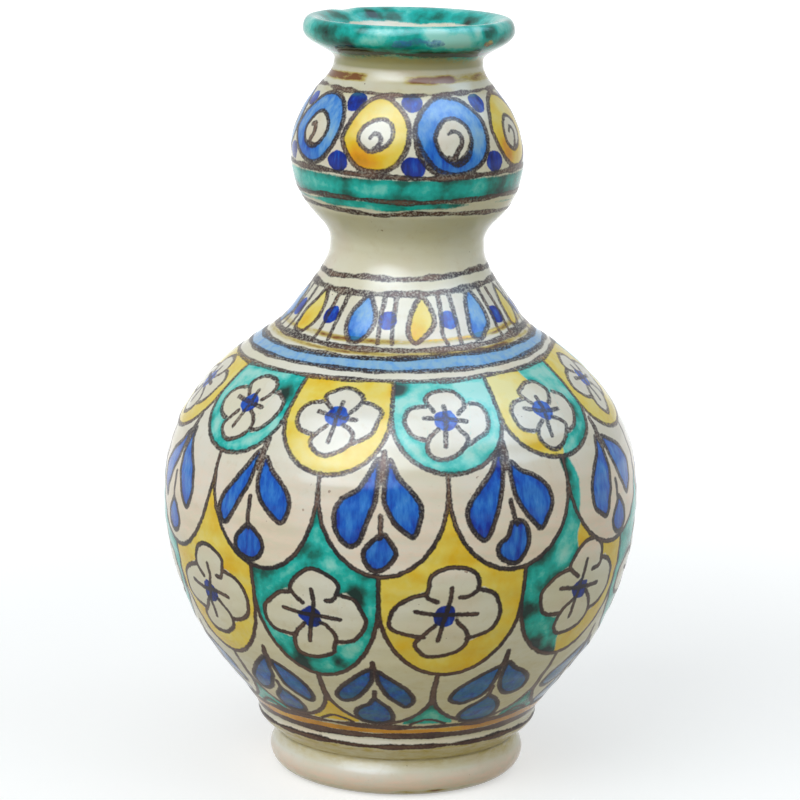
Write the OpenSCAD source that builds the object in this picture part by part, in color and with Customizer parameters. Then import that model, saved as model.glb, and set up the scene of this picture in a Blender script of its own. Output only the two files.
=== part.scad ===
// A wheel-thrown pottery vase in five sections, luted one on another with slip.
// Every section is one closed outline turned about the upright axis. The outside
// runs through named stations, and the inside follows it one wall thickness in.

/* [Clay] */
// Thickness of the thrown wall, measured square to the surface
wall = 6; // [4:0.5:8]
// Thickness of the floor of the belly
floor_thickness = 8; // [5:0.5:12]
// Thickness of the slip between two sections
slip = 1; // [0.5:0.1:1.5]
// Depth of the ridge that keys one section into the next
key_depth = 1.5; // [0.8:0.1:2]

/* [Foot ring] */
// Radius at which the foot ring meets the table
rest_radius = 38.5; // [36:0.5:41]
// Radius of the foot ring where it bulges
foot_radius = 45.6; // [43:0.1:48]
// Height of that bulge above the table
foot_bulge_height = 8; // [6:0.5:10]
// Height of the foot ring
foot_height = 13.5; // [12:0.5:20]
// Radius of the neck of clay between the foot ring and the flange
groove_radius = 44; // [42:0.1:45]
// Depth to which the slip is sponged back in that groove
groove_depth = 0.8; // [0:0.1:1.5]
// Radius of the hollow turned under the foot
hollow_radius = 31; // [25:0.5:34]

/* [Flange] */
// Radius of the flange at the bottom of the belly
flange_radius = 50.2; // [48:0.1:53]
// Height of the rounded underside of the flange
flange_underside = 7.1; // [5:0.5:10]
// Lean of that underside as it leaves the groove
flange_lean = 1.1; // [0.9:0.05:1.3]
// Height of the upright band round the flange
flange_band = 2; // [1:0.5:4]

/* [Belly] */
// Lean of the wall as it leaves the flange, radius gained per unit of height
belly_start_lean = 0.62; // [0.5:0.01:1]
// Rise from the flange to the haunch
haunch_rise = 31.5; // [26:0.5:38]
// Radius of the haunch
haunch_radius = 72.9; // [68:0.1:76]
// Lean of the wall at the haunch
haunch_lean = 0.51; // [0.4:0.01:0.6]
// Rise from the haunch to the widest line of the belly
belly_rise = 44.9; // [38:0.5:52]
// Radius of the belly at its widest line
belly_radius = 84.4; // [80:0.1:90]

/* [Shoulder and neck] */
// Rise from the seam at the belly to the middle of the shoulder
shoulder_rise = 58.3; // [52:0.1:66]
// Radius of the middle of the shoulder
shoulder_radius = 48.3; // [44:0.1:52]
// Lean of the shoulder there
shoulder_lean = -1.57; // [-1.8:0.01:-1.2]
// Rise from the shoulder to the base of the neck
neck_rise = 10.6; // [8:0.1:14]
// Radius of the base of the neck
neck_radius = 38.2; // [35:0.1:40]
// Lean of the neck at its base
neck_lean = -0.74; // [-0.9:0.01:-0.6]
// Rise from the base of the neck to the waist
waist_rise = 20.6; // [17:0.1:25]
// Radius of the waist
waist_radius = 27.2; // [25:0.1:30]

/* [Bulb] */
// Rise from the seam at the waist to the underside of the bulb
underside_rise = 7.9; // [6:0.1:10]
// Radius of the underside of the bulb
underside_radius = 31.2; // [30.5:0.1:33]
// Lean of the underside of the bulb
underside_lean = 1.04; // [0.8:0.01:1.3]
// Rise from the underside to the widest line of the bulb
bulb_rise = 22.7; // [19:0.1:28]
// Radius of the bulb at its widest line
bulb_radius = 40.9; // [38:0.1:45]
// Rise from the widest line to the top of the bulb
cap_rise = 21.2; // [18:0.1:26]
// Radius of the top of the bulb
cap_radius = 32.9; // [31:0.1:35]
// Lean of the top of the bulb
cap_lean = -0.78; // [-1:0.01:-0.6]
// Rise from the top of the bulb to the throat
throat_rise = 11.1; // [9:0.1:14]
// Radius of the throat
throat_radius = 26.1; // [24:0.1:28]

/* [Mouth] */
// Rise from the seam at the throat to the underside of the lip
flare_rise = 5.7; // [4.5:0.1:7]
// Radius of the underside of the lip
flare_radius = 33.6; // [31:0.1:35]
// Lean of the flare under the lip
flare_lean = 1.65; // [1.3:0.01:2]
// Rise from the underside to the widest line of the lip
lip_rise = 4.4; // [3.5:0.1:6]
// Radius of the lip at its widest line
lip_radius = 37.1; // [36:0.1:40]
// Height of the rolled crest above that line
crest_rise = 4.5; // [3:0.1:6]
// Radius of the crest of the lip
crest_radius = 34.4; // [32:0.1:36]
// How far the inner side of the crest rolls in
roll_in = 6; // [4:0.5:8]
// How far the inner side of the crest rolls down
roll_down = 5; // [3:0.5:6]

/* [Hidden] */
$fn = 96;

glaze_colour = "ivory";
rim_colour = "darkcyan";
slip_colour = "tan";

// A station on the outside is [radius, height, lean]. A seam stands upright for
// the thickness of its slip, so it is a pair of stations of one radius.
flange_base = foot_height + slip;
flange_top = flange_base + flange_underside + flange_band;
crease = [flange_radius, flange_top, belly_start_lean];
haunch = [haunch_radius, crease[1] + haunch_rise, haunch_lean];
belly = [belly_radius, haunch[1] + belly_rise, 0];
belly_start = above_seam(belly);
shoulder = [shoulder_radius, belly_start[1] + shoulder_rise, shoulder_lean];
neck = [neck_radius, shoulder[1] + neck_rise, neck_lean];
waist = [waist_radius, neck[1] + waist_rise, 0];
waist_start = above_seam(waist);
underside = [underside_radius, waist_start[1] + underside_rise, underside_lean];
bulb = [bulb_radius, underside[1] + bulb_rise, 0];
cap = [cap_radius, bulb[1] + cap_rise, cap_lean];
throat = [throat_radius, cap[1] + throat_rise, 0];
throat_start = above_seam(throat);
flare = [flare_radius, throat_start[1] + flare_rise, flare_lean];
lip = [lip_radius, flare[1] + lip_rise, 0];
crest_height = lip[1] + crest_rise;

// The inside of the mouth leaves the roll half way round it
roll_angle = 45;
funnel_lean = roll_in / roll_down;
funnel_top = [crest_radius - roll_in * sin(roll_angle),
              crest_height - roll_down * (1 - cos(roll_angle)),
              funnel_lean];

// Height between points on the outside, on the inside, and on tight curves
outer_pitch = 5;
inner_pitch = 7;
fine_pitch = 1.4;

floor_top = flange_base + floor_thickness;
// Width of the rounding where the inside wall meets the floor
floor_corner = 12;

function above_seam(station) = [station[0], station[1] + slip, station[2]];

function reversed(points) = [for (i = [len(points) - 1:-1:0]) points[i]];

// Cubic curve from one station to the next, as stations, without the first
function stretch(a, b, steps) =
    let (rise = b[1] - a[1])
    [for (i = [1:steps])
        let (t = i / steps)
        let (radius = a[0] * (2 * t^3 - 3 * t^2 + 1) + b[0] * (3 * t^2 - 2 * t^3)
                    + rise * a[2] * (t^3 - 2 * t^2 + t) + rise * b[2] * (t^3 - t^2))
        let (gain = 6 * (b[0] - a[0]) * (t - t^2)
                  + rise * a[2] * (3 * t^2 - 4 * t + 1) + rise * b[2] * (3 * t^2 - 2 * t))
        [radius, a[1] + t * rise, gain / rise]];

// Curve through a list of stations, with about one point for every pitch of height
function through(stations, pitch) =
    [stations[0],
     for (i = [1:len(stations) - 1])
        let (rise = stations[i][1] - stations[i - 1][1])
        each stretch(stations[i - 1], stations[i], max(2, ceil(rise / pitch)))];

// Points on the outside of the wall, and points one wall thickness in from it
function outer_side(stations) = [for (s = stations) [s[0], s[1]]];
function inner_side(stations) =
    [for (s = stations)
        let (length = sqrt(1 + s[2]^2))
        [s[0] - wall / length, s[1] + wall * s[2] / length]];

// Part of an ellipse about a centre, from one angle to another
function arc(centre, half_width, half_height, from, to, steps) =
    [for (i = [0:steps])
        let (angle = from + (to - from) * i / steps)
        [centre[0] + half_width * cos(angle), centre[1] + half_height * sin(angle)]];

// Edge of a section, from outside to inside, with the keyed ridge half way in
function keyed_edge(outer, inner, height) =
    let (middle = (outer + inner) / 2)
    [[outer, height], [middle + key_depth, height], [middle, height - key_depth],
     [middle - key_depth, height], [inner, height]];

// A thrown section, from a list of stations, between an edge below and one above
module thrown_section(stations) {
    first = stations[0];
    last = stations[len(stations) - 1];
    outside = outer_side(through(stations, outer_pitch));
    inside = inner_side(through(stations, inner_pitch));
    rotate_extrude()
        polygon(concat(
            reversed(keyed_edge(first[0], first[0] - wall, first[1])),
            [for (i = [1:len(outside) - 2]) outside[i]],
            keyed_edge(last[0], last[0] - wall, last[1]),
            reversed([for (i = [1:len(inside) - 2]) inside[i]])));
}

// The layer of slip on an edge
module slip_ring(outer, inner, height, setback) {
    edge = keyed_edge(outer, inner, height);
    under = [[outer - setback, height], edge[1], edge[2], edge[3], [inner, height]];
    over = [for (p = under) [p[0], p[1] + slip]];
    color(slip_colour)
        rotate_extrude()
            polygon(concat(under, reversed(over)));
}

module foot_ring() {
    bulge = arc([rest_radius, foot_bulge_height],
                foot_radius - rest_radius, foot_bulge_height, -90, 0, 7);
    taper = stretch([foot_radius, foot_bulge_height, 0],
                    [groove_radius, foot_height, -0.4], 3);
    color(glaze_colour)
        rotate_extrude()
            polygon(concat(
                bulge,
                outer_side([taper[0], taper[1]]),
                keyed_edge(groove_radius, hollow_radius, foot_height),
                [[hollow_radius, 0]]));
}

module foot_slip() slip_ring(groove_radius, hollow_radius, foot_height, groove_depth);

module lower_belly() {
    stations = through([crease, haunch, belly], outer_pitch);
    inside = inner_side(through([crease, haunch, belly], inner_pitch));
    under_edge = keyed_edge(groove_radius, hollow_radius, flange_base);
    flange = through([[groove_radius, flange_base, flange_lean],
                      [flange_radius, flange_base + flange_underside, 0]], fine_pitch);
    corner_start = [inside[0][0] - floor_corner, floor_top];
    corner_middle = [inside[0][0] - floor_corner / 3, floor_top];
    color(glaze_colour)
        rotate_extrude()
            polygon(concat(
                [[0, floor_top], [0, flange_base]],
                reversed([for (i = [1:4]) under_edge[i]]),
                outer_side(flange),
                outer_side([for (i = [0:len(stations) - 2]) stations[i]]),
                keyed_edge(belly[0], belly[0] - wall, belly[1]),
                reversed([for (i = [0:len(inside) - 2]) inside[i]]),
                [for (i = [1:5])
                    let (t = i / 5)
                    inside[0] * (1 - t)^2 + corner_middle * 2 * t * (1 - t)
                        + corner_start * t^2]));
}

module belly_slip() slip_ring(belly[0], belly[0] - wall, belly[1], 0);

module upper_belly()
    color(glaze_colour)
        thrown_section([belly_start, shoulder, neck, waist]);

module neck_slip() slip_ring(waist[0], waist[0] - wall, waist[1], 0);

module neck_bulb()
    color(glaze_colour)
        thrown_section([waist_start, underside, bulb, cap, throat]);

module throat_slip() slip_ring(throat[0], throat[0] - wall, throat[1], 0);

module mouth_rim() {
    flared = outer_side(through([throat_start, flare, lip], fine_pitch));
    crest = arc([crest_radius, lip[1]], lip_radius - crest_radius, crest_rise, 0, 90, 6);
    roll = arc([crest_radius, crest_height - roll_down], roll_in, roll_down,
               90, 90 + roll_angle, 4);
    throat_inside = [throat_radius - wall, throat_start[1], 0];
    funnel = outer_side(stretch(throat_inside, funnel_top, 6));
    color(rim_colour)
        rotate_extrude()
            polygon(concat(
                reversed(keyed_edge(throat_radius, throat_inside[0], throat_start[1])),
                [for (i = [1:len(flared) - 2]) flared[i]],
                crest,
                [for (i = [1:len(roll) - 1]) roll[i]],
                reversed([for (i = [0:len(funnel) - 2]) funnel[i]])));
}

foot_ring();
foot_slip();
lower_belly();
belly_slip();
upper_belly();
neck_slip();
neck_bulb();
throat_slip();
mouth_rim();
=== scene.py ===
# %% [markdown]
# # A talavera vase, thrown, glazed and painted
# The real vase is thrown on a wheel in five sections, dipped in a white tin glaze and then painted by hand
# with metal oxides before the second firing. This lesson follows the potter: first the outline, then the
# thrown wall, then the painting, stroke by stroke, and at the end the glaze that makes it one shiny skin.

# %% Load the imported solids
import math

import bpy
import numpy as np
from mathutils import Matrix, Vector


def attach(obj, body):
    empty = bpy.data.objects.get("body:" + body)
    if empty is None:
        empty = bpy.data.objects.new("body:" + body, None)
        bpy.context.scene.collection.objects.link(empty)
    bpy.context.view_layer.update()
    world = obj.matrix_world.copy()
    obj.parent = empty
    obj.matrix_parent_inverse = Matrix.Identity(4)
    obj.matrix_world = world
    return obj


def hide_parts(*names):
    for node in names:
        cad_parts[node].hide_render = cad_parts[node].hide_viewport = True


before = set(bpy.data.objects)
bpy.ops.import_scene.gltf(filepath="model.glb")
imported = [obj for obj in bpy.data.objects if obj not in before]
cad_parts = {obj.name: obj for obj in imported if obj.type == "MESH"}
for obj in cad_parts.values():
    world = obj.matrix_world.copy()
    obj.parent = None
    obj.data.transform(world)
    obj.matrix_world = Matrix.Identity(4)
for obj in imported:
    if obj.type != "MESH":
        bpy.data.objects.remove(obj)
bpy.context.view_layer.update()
print("solids:", sorted(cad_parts))

# %% [markdown]
# ## The outline of the vase
# A potter reads a vase by a few lines: the foot, the flange, the widest line of the belly, the waist, the
# bulb, the throat and the lip. Each is a *station* here, with a radius, a height and a lean, which is the
# radius gained for each millimetre of height. A cubic curve joins each station to the next, so the wall
# swells as smoothly as thrown clay. All sizes are in millimetres until the mesh is made.

# %% Stations from the foot to the lip
MM = 0.001
WALL, FLOOR, SLIP = 6.0, 8.0, 1.0
FOOT_TOP, GROOVE_RADIUS, HOLLOW_RADIUS = 13.5, 44.0, 31.0
REST_RADIUS, FOOT_RADIUS, BULGE_HEIGHT, FOOT_NECK = 38.5, 45.6, 7.2, 43.3
BELLY_SEAM, WAIST_SEAM, THROAT_SEAM = 100.5, 191.0, 254.9
WALL_STATIONS = [
    (44.0, 14.5, 1.1), (50.2, 21.6, 0.0), (50.2, 23.6, 0.62), (72.9, 55.1, 0.51), (84.4, 100.0, 0.0),
    (84.4, 101.0, 0.0), (48.3, 159.3, -1.57), (38.2, 169.9, -0.74), (27.2, 190.5, 0.0),
    (27.2, 191.5, 0.0), (31.2, 199.4, 1.04), (40.9, 222.1, 0.0), (32.9, 243.3, -0.78),
    (26.1, 254.4, 0.0), (26.1, 255.4, 0.0), (33.6, 261.1, 1.65), (37.1, 265.5, 0.0)]
CREST_RADIUS, CREST_HEIGHT = 34.4, 270.0
ROLL_IN, ROLL_DOWN, ROLL_ANGLE = 6.0, 5.0, 45.0


def swell(low, high, count=40):
    """Points (radius, height) on the cubic curve from one station to the next."""
    rise = high[1] - low[1]
    t = np.linspace(0, 1, count)
    radius = (low[0] * (2 * t**3 - 3 * t**2 + 1) + high[0] * (3 * t**2 - 2 * t**3)
              + rise * low[2] * (t**3 - 2 * t**2 + t) + rise * high[2] * (t**3 - t**2))
    return np.stack([radius, low[1] + rise * t], axis=1)


def bend(centre, half_width, half_height, start, end, count=16):
    """Points on part of an ellipse, from one angle in degrees to another."""
    angle = np.radians(np.linspace(start, end, count))
    return np.array(centre) + np.stack([half_width * np.cos(angle), half_height * np.sin(angle)], axis=1)


def draw_outline():
    """The outside of the vase from the table up to the crest, then down inside the mouth to the throat."""
    foot = bend((REST_RADIUS, BULGE_HEIGHT), FOOT_RADIUS - REST_RADIUS, BULGE_HEIGHT, -90, 0)
    groove = swell((FOOT_RADIUS, BULGE_HEIGHT, 0), (FOOT_NECK, FOOT_TOP, -0.2), 12)
    wall = [swell(low, high) for low, high in zip(WALL_STATIONS, WALL_STATIONS[1:])]
    lip = WALL_STATIONS[-1]
    crest = bend((CREST_RADIUS, lip[1]), lip[0] - CREST_RADIUS, CREST_HEIGHT - lip[1], 0, 90)
    roll = bend((CREST_RADIUS, CREST_HEIGHT - ROLL_DOWN), ROLL_IN, ROLL_DOWN, 90, 90 + ROLL_ANGLE)
    throat = WALL_STATIONS[-3]
    funnel = swell((throat[0] - WALL, throat[1], 0), (*roll[-1], ROLL_IN / ROLL_DOWN))[::-1]
    points = np.concatenate([foot, groove, *wall, crest, roll, funnel])
    steps = np.linalg.norm(np.diff(points, axis=0), axis=1)
    return points[np.concatenate([[True], steps > 1e-6])]


OUTLINE = draw_outline()
ALONG = np.concatenate([[0], np.cumsum(np.linalg.norm(np.diff(OUTLINE, axis=0), axis=1))])
CREST_ALONG = float(ALONG[np.argmax(OUTLINE[:, 1])])


def along_at(height):
    """Distance along the outside wall, in mm from the table, at a height."""
    outside = ALONG <= CREST_ALONG
    return float(np.interp(height, OUTLINE[outside, 1], ALONG[outside]))


def on_outline(along):
    """Radius and height at a distance along the wall."""
    return np.interp(along, ALONG, OUTLINE[:, 0]), np.interp(along, ALONG, OUTLINE[:, 1])


# %% [markdown]
# ## The skin as one grid
# The painting runs over the seams between the sections, so the whole outside is first worked out as one
# grid: columns go round the vase, and rows follow the wall upwards. Every row knows how far it lies along
# the wall, so the painting can be laid out flat, in degrees round and millimetres along, as if the skin
# had been unrolled. The sections are cut from this grid later.

# %% Rows and columns of the skin
COLUMNS = 800
ROW_PITCH = 0.62
SEAM_ROWS = [0.0, along_at(FOOT_TOP), along_at(FOOT_TOP + SLIP), along_at(BELLY_SEAM), along_at(WAIST_SEAM),
             along_at(THROAT_SEAM), float(ALONG[-1])]


def space_rows():
    """Rows evenly spaced between one seam and the next, and the numbers of the rows on the seams."""
    rows, marks = [np.array([0.0])], [0]
    for low, high in zip(SEAM_ROWS, SEAM_ROWS[1:]):
        count = max(2, round((high - low) / ROW_PITCH))
        rows.append(np.linspace(low, high, count + 1)[1:])
        marks.append(marks[-1] + count)
    return np.concatenate(rows), marks


ROWS, SEAM_MARKS = space_rows()
ROW_RADIUS, ROW_HEIGHT = on_outline(ROWS)
AROUND = np.linspace(-180, 180, COLUMNS, endpoint=False)
print("skin grid:", len(ROWS), "rows by", COLUMNS, "columns; seams at rows", SEAM_MARKS)

# %% [markdown]
# ## The potter's hand
# No thrown wall is a perfect turned surface. The axis wanders by half a millimetre, the fingers leave
# shallow rings, and the rim leans a little forward with one soft dent. These are small real moves of the
# surface, so they show in the outline and, above all, in how the reflections run over the belly.

# %% Wandering axis, throwing rings and a tilted rim
AXIS_HEIGHTS = [0, 30, 100, 165, 195, 205, 225, 245, 256, 270]
AXIS_WANDER = [0, 0.1, -0.2, 0.2, 0.7, 0.6, -0.1, -0.6, 0.0, -0.2]
RIM_TILT = math.radians(1.0)
FREE_FROM, TILTED_FROM, DENTED_FROM = (16, 14), (252, 12), (264, 6)
DENT_DEPTH, DENT_TURN, DENT_WIDTH = 0.5, -2.4, 0.12


def grow(height, start, length):
    """0 up to a start height, then growing to 1 over a length, both in mm."""
    return np.clip((height - start) / length, 0, 1)


def on_the_wheel(radius, height, turn, dent=0.0):
    """Positions in metres, with the wandering axis and the tilted rim in them."""
    x = radius * np.sin(turn) + grow(height, *FREE_FROM) * np.interp(height, AXIS_HEIGHTS, AXIS_WANDER)
    y = -radius * np.cos(turn)
    z = height + grow(height, *TILTED_FROM) * y * math.sin(RIM_TILT) - dent
    return np.stack(np.broadcast_arrays(x, y, z), axis=2) * MM


def throw_wall(radius, height):
    """The outside wall for every row and column, with the marks of the hand in it."""
    turn = np.radians(AROUND)[None, :]
    radius, height = radius[:, None], height[:, None]
    rings = 0.07 * np.sin(height * 0.9 + 0.8 * np.sin(turn + 1.0)) + 0.09 * np.sin(height * 0.37 + turn)
    oval = 0.18 * np.sin(2 * turn + 0.6) + 0.08 * np.sin(3 * turn + height * 0.04)
    dent = DENT_DEPTH * np.exp(-((turn - DENT_TURN) / DENT_WIDTH) ** 2) * grow(height, *DENTED_FROM)
    radius = radius + grow(height, *FREE_FROM) * (rings + oval) * np.clip(radius / 60, 0.3, 1)
    return on_the_wheel(radius, height, turn, dent)


SKIN = throw_wall(ROW_RADIUS, ROW_HEIGHT)


def skin_normals(points):
    """Outward normals of the whole grid, so that sections cut from it shade as one surface."""
    across = np.roll(points, -1, axis=1) - np.roll(points, 1, axis=1)
    upward = np.gradient(points, axis=0)
    normal = np.cross(across, upward)
    return normal / np.linalg.norm(normal, axis=2, keepdims=True)


SKIN_NORMALS = skin_normals(SKIN)
print("skin spans", np.round(SKIN.min((0, 1)), 4), "to", np.round(SKIN.max((0, 1)), 4))

# %% [markdown]
# ## Brush and paint
# The painter works with metal oxides in water: manganese for the dark outlines, cobalt for blue, antimony
# for yellow and copper for green. Everything painted is either a stroke, which is a line with a width that
# may change, or a closed shape filled with wash. Both are kept as a distance in millimetres from the edge
# of the paint, negative under it, because a distance gives a clean edge at any size and can be made ragged
# later. Places on the skin are written as (degrees round, millimetres along the wall).

# %% Sheets of paint, one number for every place on the skin
PER_DEGREE = np.radians(1) * ROW_RADIUS
STEP = 360 / COLUMNS
BARE = 9.0
COLOURS = ("ink", "green", "yellow", "blue")
PAINT = {name: np.full((len(ROWS), COLUMNS), BARE) for name in COLOURS}
# The stain sheet holds real stains and wear, and also painted shade and painted light.
PAINT |= {name: np.zeros((len(ROWS), COLUMNS)) for name in ("tone", "warm", "stain_and_shade")}
hand = np.random.default_rng(1821)


def lay(name, where, distance):
    """Put paint of one kind on the skin, beside what is there already."""
    PAINT[name][where] = np.minimum(PAINT[name][where], distance)


def wipe(where, distance, names=COLOURS):
    """Keep a shape free of paint, as the painter does where one scale lies over another."""
    for name in names:
        PAINT[name][where] = np.maximum(PAINT[name][where], -distance)


def tint(where, inside, value, sheet="tone"):
    """Give the wash inside a shape its depth, or its warmth."""
    PAINT[sheet][where] = np.where(inside, value, PAINT[sheet][where])


print("paint sheets:", sorted(PAINT), "each", PAINT["ink"].shape)


# %% From a few points to a soft line, and the part of the skin round it
def smooth(points, closed=False, fine=5):
    """A soft curve through the points, as a loaded brush would draw it."""
    given = np.array(points, float)
    if closed:
        given = np.concatenate([given[-1:], given, given[:2]])
    else:
        given = np.concatenate([2 * given[:1] - given[1:2], given, 2 * given[-1:] - given[-2:-1]])
    t = np.linspace(0, 1, fine, endpoint=False)[:, None]
    spans = [0.5 * (2 * b + (c - a) * t + (2 * a - 5 * b + 4 * c - d) * t**2
                    + (3 * b - a - 3 * c + d) * t**3)
             for a, b, c, d in zip(given, given[1:], given[2:], given[3:])]
    return np.concatenate(spans + ([] if closed else [given[-2:-1]]))


def patch(points, reach=4.0):
    """The part of the skin round some points: its rows, its columns, and the places on it."""
    low, high = np.searchsorted(ROWS, [points[:, 1].min() - reach, points[:, 1].max() + reach])
    rows = np.arange(max(low, 0), min(high, len(ROWS)))
    left, right = points[:, 0].min(), points[:, 0].max()
    half = (right - left) / 2 + reach / PER_DEGREE[rows].min()
    count = int(min(COLUMNS // 2 - 1, math.ceil(half / STEP)))
    middle = round(((left + right) / 2 + 180) / STEP)
    columns = np.arange(middle - count, middle + count + 1)
    return (np.ix_(rows, columns % COLUMNS), (-180 + columns * STEP)[None, :], ROWS[rows][:, None],
            PER_DEGREE[rows][:, None])


def reach_to(line, degrees, along, per_degree):
    """Distance in mm from the places of a patch to a line of points, less its half width if it has one."""
    nearest = np.full(np.broadcast_shapes(degrees.shape, along.shape), BARE)
    for a, b in zip(line, line[1:]):
        run, rise = (b[0] - a[0]) * per_degree, b[1] - a[1]
        x, y = (degrees - a[0]) * per_degree, along - a[1]
        t = np.clip((x * run + y * rise) / (run**2 + rise**2 + 1e-9), 0, 1)
        width = a[2] + (b[2] - a[2]) * t if len(a) > 2 else 0
        nearest = np.minimum(nearest, np.hypot(x - t * run, y - t * rise) - width)
    return nearest


print("one turn of the belly is", round(360 * PER_DEGREE.max()), "mm of painting")

# %% Strokes, washes and pools
BRUSH = 0.85


def stroke(points, name="ink", width=BRUSH):
    """One stroke of the brush. Points may carry their own half width as a third number."""
    line = smooth([p if len(p) > 2 else (*p, width) for p in points])
    where, degrees, along, per_degree = patch(line)
    lay(name, where, reach_to(line, degrees, along, per_degree))


def shape(points, closed=True):
    """A closed shape: where it lies, and the distance from its edge, negative inside."""
    line = smooth(points, closed) if closed else np.array(points, float)
    line = np.concatenate([line, line[:1]])
    where, degrees, along, per_degree = patch(line)
    distance = reach_to(line, degrees, along, per_degree)
    inside = np.zeros(distance.shape, bool)
    for a, b in zip(line, line[1:]):
        crosses = (a[1] > along) != (b[1] > along)
        inside ^= crosses & (degrees < a[0] + (b[0] - a[0]) * (along - a[1]) / (b[1] - a[1] + 1e-9))
    return where, np.where(inside, -distance, distance)


def outline(where, distance, width=BRUSH):
    """A line of ink along the edge of a shape."""
    lay("ink", where, np.abs(distance) - width)


def wash(points, name, tone, shrink, width):
    """A closed shape filled with one colour, with a line of ink round it."""
    where, distance = shape(points)
    wipe(where, distance)
    lay(name, where, distance + shrink)
    tint(where, distance < 0.5, tone)
    outline(where, distance, width)


def dab(points, tone, edge=0.5):
    """A blob of cobalt without an outline."""
    where, distance = shape(points)
    lay("blue", where, distance)
    tint(where, distance < edge, tone)


def pool(degrees, along, size, tone, sheet="tone"):
    """A soft patch where a wash gathered and fired deeper, or stayed paler if the tone is below 0."""
    where, round_about, up, per_degree = patch(np.array([(degrees, along)]), 2.5 * size)
    far = np.hypot((round_about - degrees) * per_degree, up - along) / size
    PAINT[sheet][where] += tone * np.exp(-far**2)


def pools(places, sheet="tone"):
    """Several pools, each a place, a size in mm and a tone."""
    for place in places:
        pool(*place, sheet)


def unsteady(points, amount):
    """The same points, each moved a little, as no two scales are painted alike."""
    points = np.array(points, float)
    points[:, :2] += hand.normal(0, amount, (len(points), 2)) * (1.2, 1.0)
    return points


print("a stroke is", 2 * BRUSH, "mm wide")

# %% [markdown]
# ## Rows of scales
# Four rows of overlapping scales cover the belly. Each row lies over the one below, like roof tiles, so
# the lowest row is painted first and every later scale wipes its own place clean. A scale is a letter U:
# straight sides down to a knee, then half an ellipse. The rows take turns: scales filled with yellow or
# green that hold a flower, and white scales that hold three blue drops.

# %% How one scale is painted
def go_round(front, count):
    """Sides of the scales all round: the ones painted in front, then even steps round the back."""
    back = np.linspace(front[-1], front[0] + 360, count - len(front) + 2)[1:-1]
    return [*front, *back, front[0] + 360]


def scale_points(left, right, top, knee, bottom, hang):
    """Corner points of one scale; hang moves its lowest point sideways."""
    turn = np.radians(np.linspace(180, 360, 15))
    middle, half, drop = (left + right) / 2, (right - left) / 2, knee - bottom
    bow = [(middle + half * math.cos(t) - hang * math.sin(t), knee + drop * math.sin(t)) for t in turn]
    return [(left, top), *bow, (right, top)]


def paint_scale(points, fills=(), split=0.0, tone=0.0):
    """One scale. One fill covers it, two fills meet near the given degrees, and none leaves it white."""
    where, distance = shape(points, closed=False)
    wipe(where, distance)
    columns = (where[1] * STEP - 180).ravel()
    if len(fills) == 2:
        beyond = (((columns - split + 180) % 360) - 180)[None, :] * PER_DEGREE[where[0]]
        beyond = beyond + 0.8 * np.sin(ROWS[where[0]] * 0.5)
        lay(fills[0], where, np.maximum(distance, beyond))
        lay(fills[1], where, np.maximum(distance, -beyond))
    elif fills:
        lay(fills[0], where, distance)
    tint(where, distance < 0, tone)
    outline(where, distance)


def scales_of(sides, floors, back_floor, top, knee, hang):
    """Each scale of a row: its number, its sides, its floor, and its corner points."""
    for number, (left, right) in enumerate(zip(sides, sides[1:])):
        floor = floors[number] if number < len(floors) else back_floor + hand.normal(0, 0.8)
        yield number, left, right, floor, scale_points(left, right, top, knee, floor, hand.normal(0, hang))


print("one scale has", len(scale_points(0, 30, 180, 160, 140, 0)), "corner points")

# %% [markdown]
# ## Flowers
# The flower is drawn with four loops of the brush round an empty middle, then a blob of cobalt and four
# short stamens. It is left in the white of the glaze, so here its four petals are wiped out of the wash
# before their outlines go on. One drawing serves every flower, moved and shaken a little each time.

# %% One flower, drawn about its own middle
UPPER_FLOWER = {
    "top": [(-2.8, 3.2), (-4.8, 5.8), (-5.5, 8), (-3.8, 10.2), (-0.3, 11.7), (3.2, 11.3), (5.5, 9.5),
            (6.5, 7.3), (5.5, 4.3), (3.7, 2.1)],
    "left": [(-5.5, 5.4), (-9.3, 4.3), (-11.3, 1.4), (-11.3, -2.3), (-9.5, -6), (-5.8, -7.3)],
    "bottom": [(-2.5, -3.6), (-4.5, -6.3), (-5.5, -9.6), (-4.5, -12.6), (-1.8, -14.6), (1.7, -13.3),
               (4.7, -10), (5.2, -6.7), (3.7, -4.1), (2.2, -2.9)],
    "right": [(7.7, 6.2), (10.2, 5.4), (12.2, 2.9), (12.2, -0.8), (10.7, -4.9), (8.2, -7.8), (5.5, -9.3)],
    "stamens": [[(0, 5.6), (0.2, 0), (-0.3, -4), (-1, -9.6)], [(-6, 1.2), (0, 0), (5.5, -0.8)]],
    "heart": (3.3, 3.9)}
LOWER_FLOWER = {
    "top": [(-1.75, 5.1), (-4, 7.7), (-4.5, 10.6), (-3, 15.1), (0.5, 17.6), (4, 17.3), (7, 14.3),
            (7.5, 10.3), (6, 7.3), (4, 6.6)],
    "left": [(-4.75, 8.8), (-8, 7.7), (-11, 4.7), (-13, 1.1), (-12.5, -4.1), (-10, -7), (-5, -8.1)],
    "bottom": [(-2, -3.3), (-4.5, -7), (-6.25, -10.7), (-5.5, -14.4), (-3.5, -16.6), (0.5, -16.6),
               (4, -14.7), (6, -11.4), (6, -7), (4, -3.3), (2.5, -1.9)],
    "right": [(7.5, 9.9), (11, 8), (13.5, 4), (14.3, -0.4), (13, -4.8), (10, -8.1), (6.5, -9.2)],
    "stamens": [[(1, 10.6), (0.5, 4.7), (-0.5, -3), (-1, -10.3)], [(-7.3, 1.8), (-2, 0.7), (2.5, 0.7),
                                                                   (7.5, 0.3)]],
    "heart": (2.8, 4.2)}


# %% Painting a flower
def moved(points, degrees, along, wide=1.0):
    """The same drawing in another place, and made wider or narrower."""
    return [(degrees + wide * x, along + y, *rest) for x, y, *rest in points]


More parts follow.
